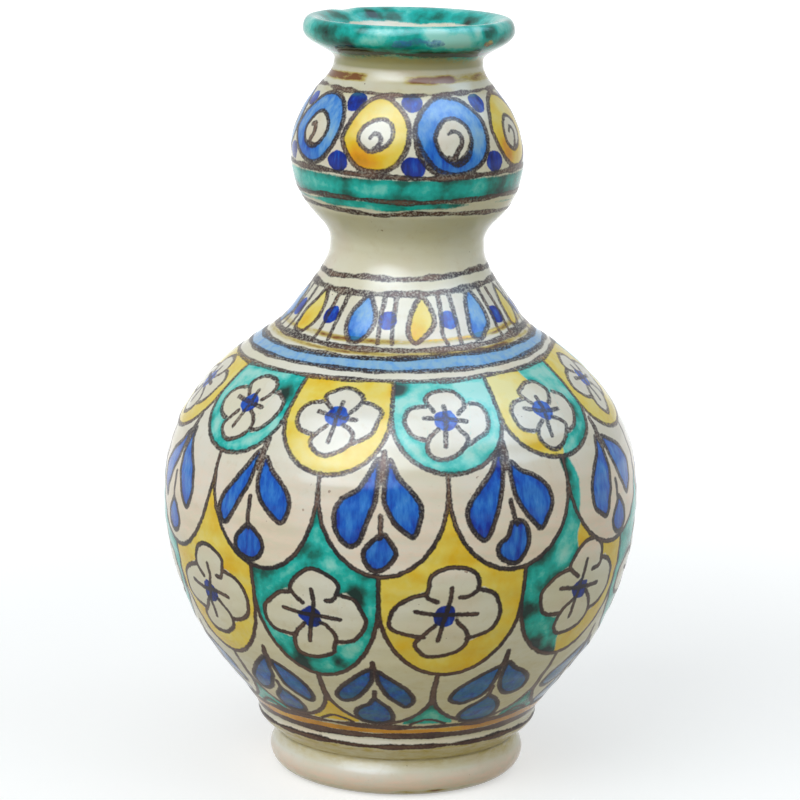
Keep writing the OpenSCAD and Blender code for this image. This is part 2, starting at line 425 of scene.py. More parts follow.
def oval(degrees, along, half_width, half_height, turn=0.0):
    """Points on an oval; its half width is in degrees, its half height in mm, its turn in degrees."""
    angles = np.radians(np.arange(0, 360, 30))
    c, s = math.cos(math.radians(turn)), math.sin(math.radians(turn))
    return [(degrees + half_width * (math.cos(a) * c - math.sin(a) * s),
             along + half_height * (math.cos(a) * s + math.sin(a) * c)) for a in angles]


def paint_flower(flower, degrees, along, wide, shake, heart_tone):
    """Wipe the petals out of the wash, draw their loops, then the blue heart and the stamens."""
    petals = {name: unsteady(moved(flower[name], degrees, along, wide), shake)
              for name in ("top", "left", "bottom", "right")}
    corners = [petals["left"][0], petals["right"][0], petals["right"][-1], petals["left"][-1]]
    for points in [corners, *petals.values()]:
        wipe(*shape(points, closed=len(points) > 4))
    for points in petals.values():
        stroke(points)
    dab(unsteady(oval(degrees, along, *flower["heart"]), shake), heart_tone, edge=0.4)
    for points in flower["stamens"]:
        stroke(unsteady(moved(points, degrees, along, wide), shake))


print("a flower has", len(UPPER_FLOWER) - 2, "petals and", 2 * len(UPPER_FLOWER["stamens"]), "stamens")

# %% [markdown]
# ## Blue drops
# Each white scale holds a spray: two long drops that hang from one stem, and a small drop between them.
# The drops are outlined in manganese and filled with cobalt, which pools darker at the rounded end.

# %% Sprays as the painter drew them, in degrees and millimetres from the middle of each scale
UPPER_SPRAYS = {
    -67: [[(-1, 40.4), (-4.5, 35.2), (-9, 30.9), (-12, 25.7), (-12, 19.8), (-9.5, 14.7), (-7, 19.8),
           (-4, 27.2), (-1.8, 33.2)],
          [(1.5, 41.9), (3, 36.8), (6.5, 30.2), (8.2, 24.2), (8, 19.2), (5.5, 14.7), (3, 18.4), (1, 24.2),
           (-0.3, 30.2)],
          [(-2, 15.5), (1.2, 10.2), (0.8, 6), (-2.3, 4.2), (-5.5, 6.6), (-5.8, 10), (-3.8, 14.2)],
          [(0.5, 47.4), (0, 42), (-0.5, 36)], [(-2, 25), (-2.4, 15.5)]],
    -36.5: [[(-0.5, 40.1), (-3.5, 34.1), (-6.5, 28.3), (-9.5, 22.4), (-10.3, 18), (-9, 13.6), (-7, 15.1),
             (-3.5, 23.9), (-1.5, 30.1)],
            [(1.5, 37.9), (4, 34.1), (8, 29.1), (10, 23.9), (9.5, 19.5), (8, 16.9), (5, 19.5), (2, 23.9),
             (0.7, 29.1)],
            [(-0.6, 14.3), (2.6, 10.5), (3.2, 6.6), (1.4, 3.2), (-1.6, 2.8), (-4.4, 5.2), (-4.6, 9),
             (-2.4, 12.8)],
            [(0.7, 44.5), (0.3, 40), (0.1, 34.5)], [(-0.8, 24.1), (-1, 18.1), (-0.9, 13.5)]],
    -4.5: [[(-1, 39.7), (-3.5, 33.8), (-5.5, 29.4), (-9, 26.1), (-10.6, 22), (-10.5, 17), (-9, 12.5),
            (-6.8, 10.3), (-4.8, 11.8), (-3.5, 16.9), (-2.3, 22), (-1.3, 26.5)],
           [(1.5, 39.7), (4, 33.8), (7, 29.4), (9.3, 24.3), (9, 19), (7.8, 14.3), (6, 15.4), (3.5, 18.4),
            (1.7, 22.8), (0.7, 27.2)],
           [(-1, 13.2), (-3.3, 9.6), (-3.5, 5.9), (-2, 2.9), (-0.5, 2.2), (1.7, 3.7), (3.7, 7.7), (3, 11),
            (1, 14.7)],
           [(0.2, 42.6), (0.1, 38), (-0.2, 33)], [(0.1, 21), (0.1, 17), (0.2, 13.6)]],
    28: [[(-3, 41.2), (-6, 33.8), (-9.5, 27.9), (-12.2, 22), (-12, 16.9), (-10, 12.5), (-8, 11),
          (-6.5, 14.7), (-5, 20.5), (-3.7, 27.9), (-3, 33.8)],
         [(-0.5, 36.7), (2, 33.4), (5.5, 31.2), (9, 26.5), (9.8, 21.3), (8, 16.1), (6.3, 13.2), (4.5, 15.4),
          (1.5, 20.5), (-0.5, 26.5), (-1, 33.1)],
         [(1.5, 16.1), (3, 11), (2.5, 6.5), (0.5, 2.5), (-2, 2.5), (-4.5, 5.1), (-4.7, 8.8), (-2.5, 11.7),
          (-1.4, 16.1)],
         [(-1.7, 44.5), (-1.6, 40), (-1.9, 35)], [(-1.7, 23.5), (-1, 19.1), (-0.2, 15.5)]],
    62: [[(-2.7, 37.5), (-5.5, 31.6), (-9, 25.7), (-10.2, 19.8), (-9.5, 13.9), (-7, 11.3), (-4.7, 9.9),
          (-3.2, 13.9), (-2, 19.1), (-1.5, 27.3)],
         [(0, 36.7), (4, 34.5), (8.5, 30.9), (11, 25), (10.5, 19.1), (8, 14.7), (5, 19.1), (2, 25.7),
          (0.3, 32.3)],
         [(2, 15), (4.8, 10.5), (5.8, 6), (4, 2.6), (1, 2.6), (-1.2, 5.8), (-0.8, 10), (1, 13)],
         [(-1.7, 44.3), (-1.5, 39), (-1.4, 34)], [(1.1, 20.9), (1.3, 17), (1.5, 14)]]}
LOWER_SPRAYS = {
    -38.5: [[(-0.7, 29.2), (-4.3, 25.8), (-8.1, 21.3), (-11.2, 16.8), (-12, 12.8), (-10.8, 10.2),
             (-8.1, 10.6), (-5, 12.8), (-2.7, 16.8), (-1.2, 20.2), (-0.7, 24.7)],
            [(1.1, 27.5), (3, 27), (6.9, 23.5), (9.6, 19), (11.1, 14.5), (10.7, 10.5), (8.8, 9),
             (6.5, 10.5), (3.8, 13.3), (1.9, 16.8), (1.3, 22.4)],
            [(-1, 13.3), (-3.1, 10.5), (-5.4, 7.7), (-6.2, 3.7), (-5, 1.5), (-0.8, 0.9), (3.4, 1.5),
             (4.8, 4.3), (3.8, 7.7), (1.5, 10.5), (-0.4, 12.8)],
            [(0.3, 33.7), (0.1, 30), (0.1, 26)], [(-1, 16.8), (-1, 13)]],
    -6.5: [[(-0.5, 29.8), (-3.2, 28.1), (-7, 23.6), (-10.1, 19.6), (-12, 15.6), (-11.3, 12.8), (-9.3, 12.3),
            (-6.3, 14), (-3.2, 18.4), (-0.9, 23.5), (-0.5, 25.8)],
           [(1, 29.2), (3.7, 26.4), (6.8, 23), (9.5, 19.6), (11.4, 15), (11, 11.7), (9.1, 10.2),
            (6.4, 12.8), (3.7, 16.2), (2.2, 20.2), (1, 24.7)],
           [(-0.7, 14.5), (-2.4, 11.1), (-5.5, 8.9), (-7.4, 5.5), (-6.3, 1.5), (-2.4, 0), (1.4, 0),
            (4.9, 2), (4.9, 6), (3.7, 9.4), (1.8, 11.7), (0.3, 13.9)],
           [(-0.1, 33), (0.2, 28)], [(-0.1, 18.4), (-0.5, 13.9)]],
    29.5: [[(-0.7, 29.2), (-4.6, 27), (-8.4, 23.5), (-11.9, 19), (-13.2, 14.5), (-11.9, 12.2), (-8.4, 11),
            (-5.3, 12.8), (-3, 14.5), (-1.1, 19), (-0.7, 24.7)],
           [(1.6, 30.9), (4.7, 27.5), (8.5, 24.7), (12, 20.2), (12.3, 16.2), (10.8, 14), (7, 13.4),
            (3.9, 15.6), (1.6, 20.2), (0.8, 25.8)],
           [(-0.3, 13.9), (-2.3, 11.1), (-6.1, 7.7), (-8, 3.7), (-6.1, 0.3), (-0.3, -0.8), (3.9, -0.2),
            (6.6, 2), (6.2, 6.6), (3.9, 10.6), (0.8, 13.4)],
           [(0.5, 36), (0.2, 30)], [(-0.3, 18.9), (-0.3, 14)]]}


# %% Painting a spray
STEM_WIDTHS = (1.0, 1.45, 1.5)


def paint_spray(drawing, degrees, along, shake, tone):
    """Three drops and two stems."""
    for drop in drawing[:3]:
        points = unsteady(moved(drop, degrees, along), shake)
        wash(points, "blue", tone + hand.uniform(-0.12, 0.12), shrink=0.35, width=0.95)
        low = points[np.argmin(points[:, 1])]
        pool(low[0], low[1] + 3, 4, 0.25)
    main_stem, *rest = drawing[3:]
    stroke([(*point, width) for point, width in zip(moved(main_stem, degrees, along), STEM_WIDTHS)])
    for stem in rest:
        stroke(moved(stem, degrees, along), width=0.95)


def hang_spray(drawings, number, left, right, along, shake, tone):
    """The spray drawn for a scale in front, or any of them, shaken a little, on a scale at the back."""
    in_front = 0 <= number < len(drawings)
    place, drawing = list(drawings.items())[number if in_front else int(hand.integers(len(drawings)))]
    paint_spray(drawing, place if in_front else (left + right) / 2, along, 0 if in_front else shake, tone)


print("sprays drawn:", len(UPPER_SPRAYS) + len(LOWER_SPRAYS))

# %% [markdown]
# ## Painting the belly
# Now the four rows, the lowest first. The sides of the scales in front are listed one by one, since the
# painter did not measure them out; round the back they follow at even steps. Where the count of scales
# would bring two of one colour together, the painter split one scale into two colours.

# %% Lowest row: white scales with wedges of colour between their feet
SCALES = 12
LOWEST = 39.6
sides = go_round([-87, -53, -22.3, 10.9, 48.6, 82], SCALES)
WEDGES = "yellow green yellow green green yellow green yellow green yellow green green".split()
for side, colour in zip(sides, WEDGES):
    wedge = [(side - 9, LOWEST), (side + 9, LOWEST), (side + 4, 60), (side - 4, 60)]
    lay(colour, *shape(wedge, closed=False))
    pool(side, 50, 6, 0.3)
for number, (left, right) in enumerate(zip(sides, sides[1:])):
    paint_scale(scale_points(left, right, 92, 57, LOWEST, 0))
    hang_spray(LOWER_SPRAYS, number - 1, left, right, 40, shake=0.3, tone=0.5)
ARCH = [(-6, 39.4), (-3, 41.2), (-0.5, 42.2), (3, 41.3), (6.5, 39.4)]
for side in sides[:-1]:
    stroke(moved(ARCH, side, 0), width=0.65)
    stroke([(side, 68, 0.8), (side - 0.3, 60, 1.1), (side + 0.2, 52, 1.4)])
print("lowest row:", len(sides) - 1, "scales")


# %% How a row of flowers is painted
def paint_flower_row(sides, floors, places, fills, flower, back_floor, back_along, top, knee, hang, split,
                     tone, full_width, shake, back_shake, heart_tone):
    """A row of filled scales, each with a flower; in front all are listed one by one."""
    sides, fills = go_round(sides, SCALES), [fill.split("+") for fill in fills.split()]
    for number, left, right, floor, points in scales_of(sides, floors, back_floor, top, knee, hang):
        middle, seen = (left + right) / 2, number < len(floors)
        paint_scale(points, fills[number], middle + split, tone)
        place = places[number] if seen else (middle, back_along)
        wide = min(1, (right - left) / full_width)
        paint_flower(flower, *place, wide, shake if seen else back_shake, heart_tone)
    print("row of", len(sides) - 1, "scales with flowers from", round(min(floors), 1), "mm")


# %% Third row: flowers on yellow and green
paint_flower_row(
    sides=[-103, -69, -36.8, -4.7, 30.5, 66, 97],
    floors=[67, 67.3, 65.5, 67.7, 70.5, 69],
    places=[(-87, 91.5), (-53.5, 91.6), (-21.5, 90.3), (11, 92.7), (49, 96.4), (82, 94)],
    fills="green yellow green yellow green+yellow green yellow green yellow green yellow green+yellow",
    flower=LOWER_FLOWER, back_floor=67.5, back_along=92.5, top=142, knee=96, hang=0.4, split=-2, tone=-0.1,
    full_width=33, shake=0.25, back_shake=0.45, heart_tone=0.95)
pools([(-10, 99.7, 4, 1.7), (-26, 69.5, 3.2, 1.6), (-15.5, 72.5, 2.6, 1.4), (-20, 114, 4, 0.8),
       (33.5, 92, 4, 1.5), (43, 71, 3.5, 1.5), (-33, 106, 5, 0.7), (35, 112, 5, 0.8), (38, 78, 4, 1.2),
       (74, 100, 5, 0.6)])

# %% Second row: white scales with blue drops, and one run of green between two of them
SECOND_FLOORS = [104.8, 105.9, 107, 108.5, 110.7]
sides = go_round([-83, -50.2, -19.6, 11.2, 43.3, 79], SCALES)
for number, left, right, floor, points in scales_of(sides, SECOND_FLOORS, 107, 176, 137, 0.4):
    paint_scale(points)
    hang_spray(UPPER_SPRAYS, number, left, right, floor, shake=0.35, tone=0.3)
stroke([(42.6, 147.5, 1.4), (44.2, 141, 2.6), (45.6, 134, 2.4), (45.4, 121, 1.0)], "green")
pools([(43.2, 144, 2.2, 1.0), (44, 138, 2.2, 0.6), (44.6, 132, 2.2, 0.25)])
print("second row:", len(sides) - 1, "scales with sprays")

# %% Top row: flowers again, under the lines of the shoulder
paint_flower_row(
    sides=[-96.5, -64.2, -33.5, -3, 28, 60, 91],
    floors=[144, 142.9, 140.5, 142, 144.5, 148.5],
    places=[(-81, 163), (-48.5, 161.5), (-18.2, 161.5), (12, 161.5), (43.3, 162), (75.5, 168.5)],
    fills="yellow green yellow green yellow+green yellow green yellow green yellow green yellow+green",
    flower=UPPER_FLOWER, back_floor=143, back_along=162, top=186, knee=163, hang=0.5, split=0, tone=-0.55,
    full_width=31, shake=0.2, back_shake=0.4, heart_tone=0.5)
pools([(-1.5, 173.5, 2.8, 2.4), (-38, 168, 4, 1.3), (-60, 152, 3, 0.9), (5, 142.5, 2.5, 1.6),
       (22, 147, 4, 0.6), (-37, 172, 3, 0.5), (56, 160, 4, 0.7), (54, 150, 3, 0.5)])
pools([(18, 178, 2, 0.9), (35, 170, 9, -0.9), (36, 148.5, 4, 0.4), (70, 174, 8, -0.5)], "warm")

# %% [markdown]
# ## Lines and bands
# The lines that divide the zones are drawn with the vase turning on a banding wheel. The brush is held
# still, so they are almost level, yet they wave a little, thin out and break. A pale blue band lies on
# the shoulder, a green one under the bulb, a yellow one on the flange, and a wide green one over the lip.

# %% Drawing a line all the way round
WHOLE = np.arange(COLUMNS)
TURN = np.radians(AROUND)
WAVE = 0.13
SOFTEN = np.hanning(23) / np.hanning(23).sum()


def level(knots, wave=WAVE):
    """Height of a line, in mm along the wall, for every column; it closes on itself round the back."""
    along = np.interp(AROUND, *zip(*sorted(knots)), period=360)
    phase = hand.uniform(0, 6.3, 3)
    waves = [size * np.sin(count * TURN + p) for size, count, p in zip((1, 0.6, 0.3), (4, 9, 22), phase)]
    return np.convolve(np.tile(along, 3), SOFTEN, "same")[COLUMNS:2 * COLUMNS] + wave * sum(waves)


def between(low, high, reach=3.0):
    """Distance from a band between two lines, negative inside it."""
    rows = np.nonzero((ROWS > low.min() - reach) & (ROWS < high.max() + reach))[0]
    along = ROWS[rows][:, None]
    return np.ix_(rows, WHOLE), np.maximum(low - along, along - high)


def ring(knots, half_width=0.95, wave=WAVE, uneven=0.2):
    """A line of ink drawn on the banding wheel; its width is a little uneven."""
    along = level(knots, wave)
    swing = np.sin(9 * TURN + hand.uniform(0, 6)) + 0.7 * np.sin(23 * TURN + hand.uniform(0, 6))
    half = half_width * (1 + uneven * swing)
    lay("ink", *between(along - half, along + half))


print("a line round the vase has", COLUMNS, "places")


# %% Bands of wash, and stains and painted shade that run round
def band(name, low, high, value, sheet="tone", wave=WAVE, margin=1.0):
    """A band of wash between two lines, with one depth or one warmth all round."""
    lay(name, *between(level(low, wave), level(high, wave)))
    where, distance = between(level(low, 0), level(high, 0))
    tint(where, distance < margin, value, sheet)


def follow(knots, places=AROUND):
    """The values between (place, value) pairs, for every column or for other places."""
    return np.interp(places, *zip(*knots))


def soak_and_shade(low, high, edge, strength, sheet="stain_and_shade"):
    """A soft-edged line, stronger in some places than in others: where something soaked in, and under the
    lip painted shade.
    """
    where, distance = between(low, high)
    PAINT[sheet][where] += np.clip(edge - distance, 0, 1) * strength


print("lines wave by", WAVE, "mm")

# %% Lines on the shoulder
SCALE_TOPS = [(-80, 177), (-40, 176.7), (0, 177.2), (20, 178), (30, 179.3), (40, 179.8), (50, 180.8),
              (60, 182), (80, 184.3), (110, 183.5), (170, 179), (-130, 177.5)]
PALE_LOW = [(-80, 182.6), (-40, 181.8), (-10, 181.4), (10, 182.2), (30, 183.3), (50, 184.7), (60, 186),
            (80, 187.8), (110, 187), (170, 184), (-130, 183)]
PALE_HIGH = [(-80, 188.2), (-20, 187.4), (0, 187.8), (20, 189.6), (40, 190.5), (60, 191.8), (80, 192.6),
             (110, 192), (170, 190), (-130, 188.6)]
FRIEZE_LOW = [(-80, 194), (-50, 193), (-30, 191.8), (0, 191.8), (20, 192.5), (40, 193.5), (50, 194.5),
              (60, 195.8), (80, 196.7), (150, 195), (-130, 194)]
FRIEZE_HIGH = [(-80, 214.5), (-45, 213.4), (-10, 213.8), (10, 214), (30, 214.8), (50, 216), (70, 216.6),
               (120, 216), (-130, 214.5)]
NECK_LINE = [(-75, 219.2), (-60, 218.5), (-30, 219.5), (0, 219.5), (20, 220.2), (40, 220.8), (60, 221.5),
             (140, 220.5), (-130, 219.4)]
WAIST = 240
wipe(*between(level(SCALE_TOPS, 0), level([(0, WAIST)], 0)))
ring(SCALE_TOPS, 1.05)
band("blue", PALE_LOW, PALE_HIGH, -0.75)
ring(PALE_LOW, 1.05)
ring(PALE_HIGH, 1.2)
ring(FRIEZE_LOW, 1.3)
for lift in (3.6, -2.0):
    soak_and_shade(level(FRIEZE_LOW, 0.1) + lift - 0.5, level(FRIEZE_LOW, 0.1) + lift + 0.5, 0.9,
         1.5 + 0.5 * np.sin(np.radians(5 * AROUND + 60 * lift)))
ring(FRIEZE_HIGH, 1.2)
ring(NECK_LINE, 1.05)
print("shoulder lines lie between", SCALE_TOPS[0][1], "and", NECK_LINE[0][1], "mm along the wall")

# %% Five drops of the frieze, drawn one by one
FRIEZE_DROPS = {
    -56: [(-56.5, 212.8), (-59.5, 208.5), (-62.5, 204), (-63.3, 199.5), (-61.5, 196.3), (-57.5, 195.3),
          (-54, 195.6), (-52.5, 197.8), (-49.8, 200.5), (-48.9, 204.5), (-50.5, 208.7), (-53.5, 212)],
    -22.5: [(-23, 212.7), (-26, 210), (-28.6, 206.5), (-30, 202.5), (-29.3, 199.5), (-26.5, 196),
            (-24, 194.6), (-21, 195), (-17.5, 198), (-15.5, 202), (-15.8, 206), (-18, 210), (-20.5, 212.3)],
    8.7: [(9, 212.6), (6, 210.5), (3.3, 206), (1.7, 201.5), (2, 198), (4.6, 195.2), (7, 196), (10, 197.8),
          (13, 200.4), (14.9, 203.4), (14.9, 206.5), (13, 210), (11, 212.5)],
    40: [(40, 214), (37, 211), (35.2, 206.5), (33.8, 202), (33.5, 197.5), (35.5, 195.8), (38, 196.2),
         (42, 198.4), (45.5, 201), (47.2, 205.5), (46, 210), (43, 213.8)],
    69.5: [(71, 214), (67, 210), (65, 205.5), (64.5, 201), (66.5, 198.3), (70, 198), (74, 200), (77, 204),
           (77, 208), (74.5, 212.5)]}
print("drops drawn:", len(FRIEZE_DROPS))


# %% Drops all round the frieze
def and_behind(drawings, step, count):
    """Place, drawing and shift: first those in front, then the same ones at even steps round the back."""
    in_front = [(place, drawing, 0) for place, drawing in drawings.items()]
    last = in_front[-1][0]
    return in_front + [(place, drawing, last + step * (k + 1) - place)
                       for k, (place, drawing, _) in enumerate((in_front + in_front)[:count])]


DROP_STEP = 29.3
drops = and_behind(FRIEZE_DROPS, DROP_STEP, 7)
for number, (place, points, shift) in enumerate(drops):
    colour, tone = (("yellow", -0.7), ("blue", -0.2))[number % 2]
    points = unsteady(moved(points, shift, 0), 0.3 if shift else 0.1)
    wash(points, colour, tone, shrink=0.4, width=0.95)
    pool(place + shift - 5, 198.5, 4, 0.55)
    pool(place + shift + 3, 207, 5, -0.25)
    if colour == "yellow":
        pool(place + shift - 3, 199.5, 4, 0.8, "warm")
print("drops in the frieze:", len(drops))

# %% Pairs of strokes with a dot between them, and a thin line of yellow
UPRIGHT = [(194.5, 0.85), (199, 0.8), (206, 0.9), (214, 0.95)]
FRIEZE_PAIRS = [(-72, -76.5, -67.5), (-41.5, -43.6, -35.9), (-8.7, -12, -5.6), (23, 19.3, 26.4),
                (55, 51.4, 58.9)]
FRIEZE_PAIRS += [tuple(place + DROP_STEP * k for place in (84.2, 80.7, 88)) for k in range(7)]
for dot, *sides in FRIEZE_PAIRS:
    for side in sides:
        sway = side + hand.normal(0, 0.35, len(UPRIGHT))
        stroke([(degrees, *rest) for degrees, rest in zip(sway, UPRIGHT)])
        pool(side, 195.5, 2, 1.2, "warm")
    dab(unsteady(oval(dot, 203.8, 4.7, 3.6), 0.15), 0.7)
watered = follow([(-180, 0), (-40, 0), (-20, 0.3), (5, 0.5), (15, 0.8), (50, 0.7), (65, 0), (180, 0)])
edges = [level([(0, lift)], 0.1) + level(FRIEZE_LOW, 0) for lift in (3.5, 4.5)]
where, distance = between(*edges)
lay("yellow", where, distance + 0.9 - watered)
print("pairs of strokes:", len(FRIEZE_PAIRS))

# %% [markdown]
# ## The bulb
# Nine rings go round the bulb, blue and yellow in turn, each with a white eye and one hooked stroke in it.
# Nine is odd, so two blue rings meet at the back. Dark blue dots fill the corners between the rings. The
# rings are drawn fast, so no two are alike; the four in front are drawn one by one and serve again behind.

# %% The green band under the bulb
BULB_GREEN_LOW = [(-60, 252), (-45, 252.4), (-30, 252), (0, 251.5), (30, 252), (60, 252.6), (150, 252.4)]
BULB_GREEN_HIGH = [(-60, 260.2), (0, 259.6), (60, 260), (150, 260)]
band("green", BULB_GREEN_LOW, BULB_GREEN_HIGH, 0.02, wave=0.1)
DEEPER = [(-31, 0.4), (-1, 0.25), (45, 0.3), (54, 0.6), (95, 0.4), (140, 0.3), (-100, 0.4), (-150, 0.4)]
for degrees, deep in DEEPER:
    pools([(degrees, 258, 2.6, deep), (degrees, 254.5, 2.6, deep)])
print("places where the green is deeper:", len(DEEPER))

# %% Four rings, each drawn as its edge, its eye and its hook
RINGS = {
    -54.2: [[(-74, 274), (-72, 279.5), (-67, 283.5), (-60, 288), (-52, 289.2), (-44, 288), (-38, 284.5),
             (-36, 280), (-36.5, 274.5), (-40, 269), (-46, 264.8), (-54, 263.3), (-62, 265), (-69, 268.5)],
            [(-63, 274.5), (-60.5, 278.5), (-55, 281.5), (-50, 281), (-46, 278.5), (-44.5, 275),
             (-47, 271.5), (-51, 269.3), (-56, 269), (-61, 271)],
            [(-57.8, 276.3, 1.1), (-55, 276.5, 1.6), (-54, 273.5, 1.3), (-56.5, 270, 1.3),
             (-52, 269.3, 1.1)]],
    -15.2: [[(-33.5, 273), (-31.5, 278), (-28, 283), (-23, 287), (-17, 289), (-10, 288.5), (-4, 285.5),
             (0, 281), (1.5, 276), (0, 270.5), (-4, 265.5), (-10, 262.7), (-17, 262.2), (-24, 263.7),
             (-30, 267.5)],
            [(-24.5, 273), (-22.5, 277), (-18, 279.8), (-12, 280.6), (-8, 278.8), (-6.7, 275.5),
             (-8.5, 272.5), (-12, 270.5), (-17, 269), (-21, 270)],
            [(-18.5, 273.5, 0.8), (-16, 275.3, 1.0), (-13.2, 274.4, 1.1), (-13, 272, 1.1),
             (-16.5, 269.4, 1.3)]],
    24.8: [[(4.5, 277), (7, 282), (12, 286), (19, 289), (26, 289), (34, 287.5), (40, 284), (43.8, 279.5),
            (44.5, 274.5), (43, 269), (38, 264.5), (31, 262), (23, 261.4), (15, 262), (9.5, 265.5),
            (6, 270)],
           [(14.5, 274), (17.5, 278.5), (22, 280.6), (28, 280.6), (32.5, 277.5), (34, 274), (32, 270),
            (28, 266.8), (22.5, 265.8), (17.5, 268), (15, 271)],
           [(21.5, 275.3, 0.8), (24.5, 276.3, 1.0), (28, 275, 1.1), (28.3, 272.3, 1.2), (26, 269.8, 1.3),
            (23.5, 267, 1.5)]],
    66.7: [[(49.5, 275), (51.5, 281), (56, 285.5), (62, 288.5), (68, 289.3), (76, 288), (83, 284),
            (86, 278), (86, 272), (82, 266.5), (76, 263), (68, 262), (61, 263.3), (54, 267.5)],
           [(59, 273.5), (61.5, 277.5), (66.5, 280), (72, 279.5), (76.5, 276.5), (76, 271.5), (71.5, 269),
            (66, 268.5), (61, 270)],
           [(64.5, 274.5, 0.8), (67.5, 276, 1.0), (70.5, 274.5, 1.1), (69.5, 271.5, 1.1),
            (67.5, 269.2, 1.2)]]}
print("rings drawn:", len(RINGS))

# %% Rings all round the bulb
RING_STEP = 39.85
HEAVY = [[(-20.2, 275, 0.9), (-18.6, 270, 1.6), (-15, 265.6, 1.8), (-9.5, 262.4, 1.4), (-2, 261.4, 0.9)],
         [(9.5, 273, 0.8), (6, 267.8, 1.4), (0.5, 265.4, 1.6), (-4, 267, 1.1)]]
rings = and_behind(RINGS, RING_STEP, 5)
for number, (place, (edge, eye, hook), shift) in enumerate(rings):
    middle, shake = place + shift, 0.3 if shift else 0.1
    colour = ("blue", "yellow")[number % 2]
    wash(unsteady(moved(edge, shift, 0), shake), colour, tone=-0.2, shrink=0.3, width=0.95)
    where, distance = shape(unsteady(moved(eye, shift, 0), shake))
    wipe(where, distance)
    outline(where, distance, 0.8)
    stroke([(x, y, 0.75 * half) for x, y, half in moved(hook, shift, 0)])
    if number % 4 == 2:
        for heavy in HEAVY:
            stroke(moved(heavy, middle, 0))
    pools([(middle - 4, 266.5, 6, 0.55), (middle - 12, 270, 5, 0.3)])
    if colour == "yellow":
        pools([(middle - 9, 266, 5, 1.0), (middle + 1, 284, 5, -0.6)], "warm")
    pool(middle + 12, 274, 4, -0.5)
print("rings on the bulb:", len(rings))

# %% Dots between the rings
DOTS = [(-72, 285.8, 5.5, 3.1), (-31, 287, 6.5, 3.8), (3.3, 287, 6.4, 3.4), (46.2, 286.5, 6.2, 3.9),
        (-74, 266, 5.5, 3.2), (-35.3, 265, 6.1, 3.6), (3.1, 264, 6.1, 3.8), (47.4, 265, 5.6, 3.8)]
DOTS += [(86.6 + RING_STEP * k, along, 6.2, 3.6) for k in range(5) for along in (286.6, 265)]
for dot in DOTS:
    dab(unsteady(oval(*dot), 0.2), 0.9)
print("dots on the bulb:", len(DOTS))

# %% Lines of the bulb, and two watery lines beside them
WAIST_LINE = [(-75, 248), (-45, 246.9), (-15, 245.8), (0, 247), (20, 246.8), (50, 246), (75, 245.8),
              (150, 247)]
ring(WAIST_LINE, 1.0)
ring(BULB_GREEN_LOW, 1.0, wave=0.1)
ring([(-75, 262), (-40, 261.3), (0, 260.4), (20, 260.5), (60, 261.3), (150, 261.5)], 1.0)
ring([(-75, 291.8), (-30, 290.6), (0, 290), (22, 290.2), (60, 291.2), (150, 291)], 0.8, uneven=0.35)
watery = follow([(-180, 2.6), (-36, 3.2), (-30, 0.1), (-4, 0.1), (4, 2.0), (12, 3.2), (32, 3.2), (38, 1.2),
                 (180, 2.6)])
soak_and_shade(level([(0, 294.9)], 0.2), level([(0, 297.2)], 0.2), 0.7, watery)
in_places = follow([(-180, 0.2), (-60, 0.3), (-42, 1.3), (-20, 1.5), (12, 1.4), (24, 0.3), (40, -0.6),
                    (180, 0.2)])
where, distance = between(level([(0, 249.2)], 0.3), level([(0, 250.9)], 0))
lay("green", where, distance + 0.5 - in_places + 0.3 * np.sin(np.radians(11 * AROUND)))
print("the brown line over the bulb is", round(float((watery > 1).mean()), 2), "of the way round")

# %% [markdown]
# ## Lip, flange, stains and painted shade
# The lip is brushed over with green, thick and in a hurry. The glaze runs and gathers, so it is deep along
# the lower edge and mottled above it, and it soaks softly into the white below; that lower edge faces down
# and is darkened further as painted shade. The flange gets one wide yellow line between brown ones. Last
# come the stains: where the brush dripped, where iron bled out of the ink, and where the glaze gathered.
# With them go painted shade, darker and more olive under the lip and the flange, low on the belly and in
# part on the neck, and painted light, paler and pinker on the bulge of the foot and above the widest line
# of the belly.

# %% The green lip
LIP_LOW = [(-80, 304.5), (-40, 305), (-12, 306.5), (0, 305.5), (30, 305), (50, 303.5), (110, 305),
           (-130, 304.5)]
LIP_INSIDE = [(-180, 332), (-160, 331.8), (-145, 331.2), (-130, 331.4), (-118, 333.2), (-108, 336.5),
              (-90, 334), (-40, 332), (0, 331), (60, 333), (90, 335), (108, 336.5), (118, 333.4),
              (132, 331.6), (150, 331.6)]
SOAKED_BELOW, SOAKED = 312, 0.22
where, distance = between(level(LIP_LOW, 0.3), level(LIP_INSIDE, 0.5))
lay("green", where, np.where(ROWS[where[0]] < SOAKED_BELOW, SOAKED, 1.0) * distance)
PAINT["tone"][where] += np.where(distance < 0, 0.08, 0)
# A deeper green line along the underside of the lip, where it faces down: painted shade, with glaze
# gathered there too.
soak_and_shade(level(LIP_LOW, 0) + 2.2, level(LIP_LOW, 0) + 3.4, 1,
     follow([(-180, 0.8), (-45, 0.6), (-30, 1.3), (-10, 0.7), (10, 0.9), (25, 1.5), (55, 1.2), (180, 0.8)]),
     "tone")
print("the green starts", min(along for _, along in LIP_LOW), "mm along the wall")
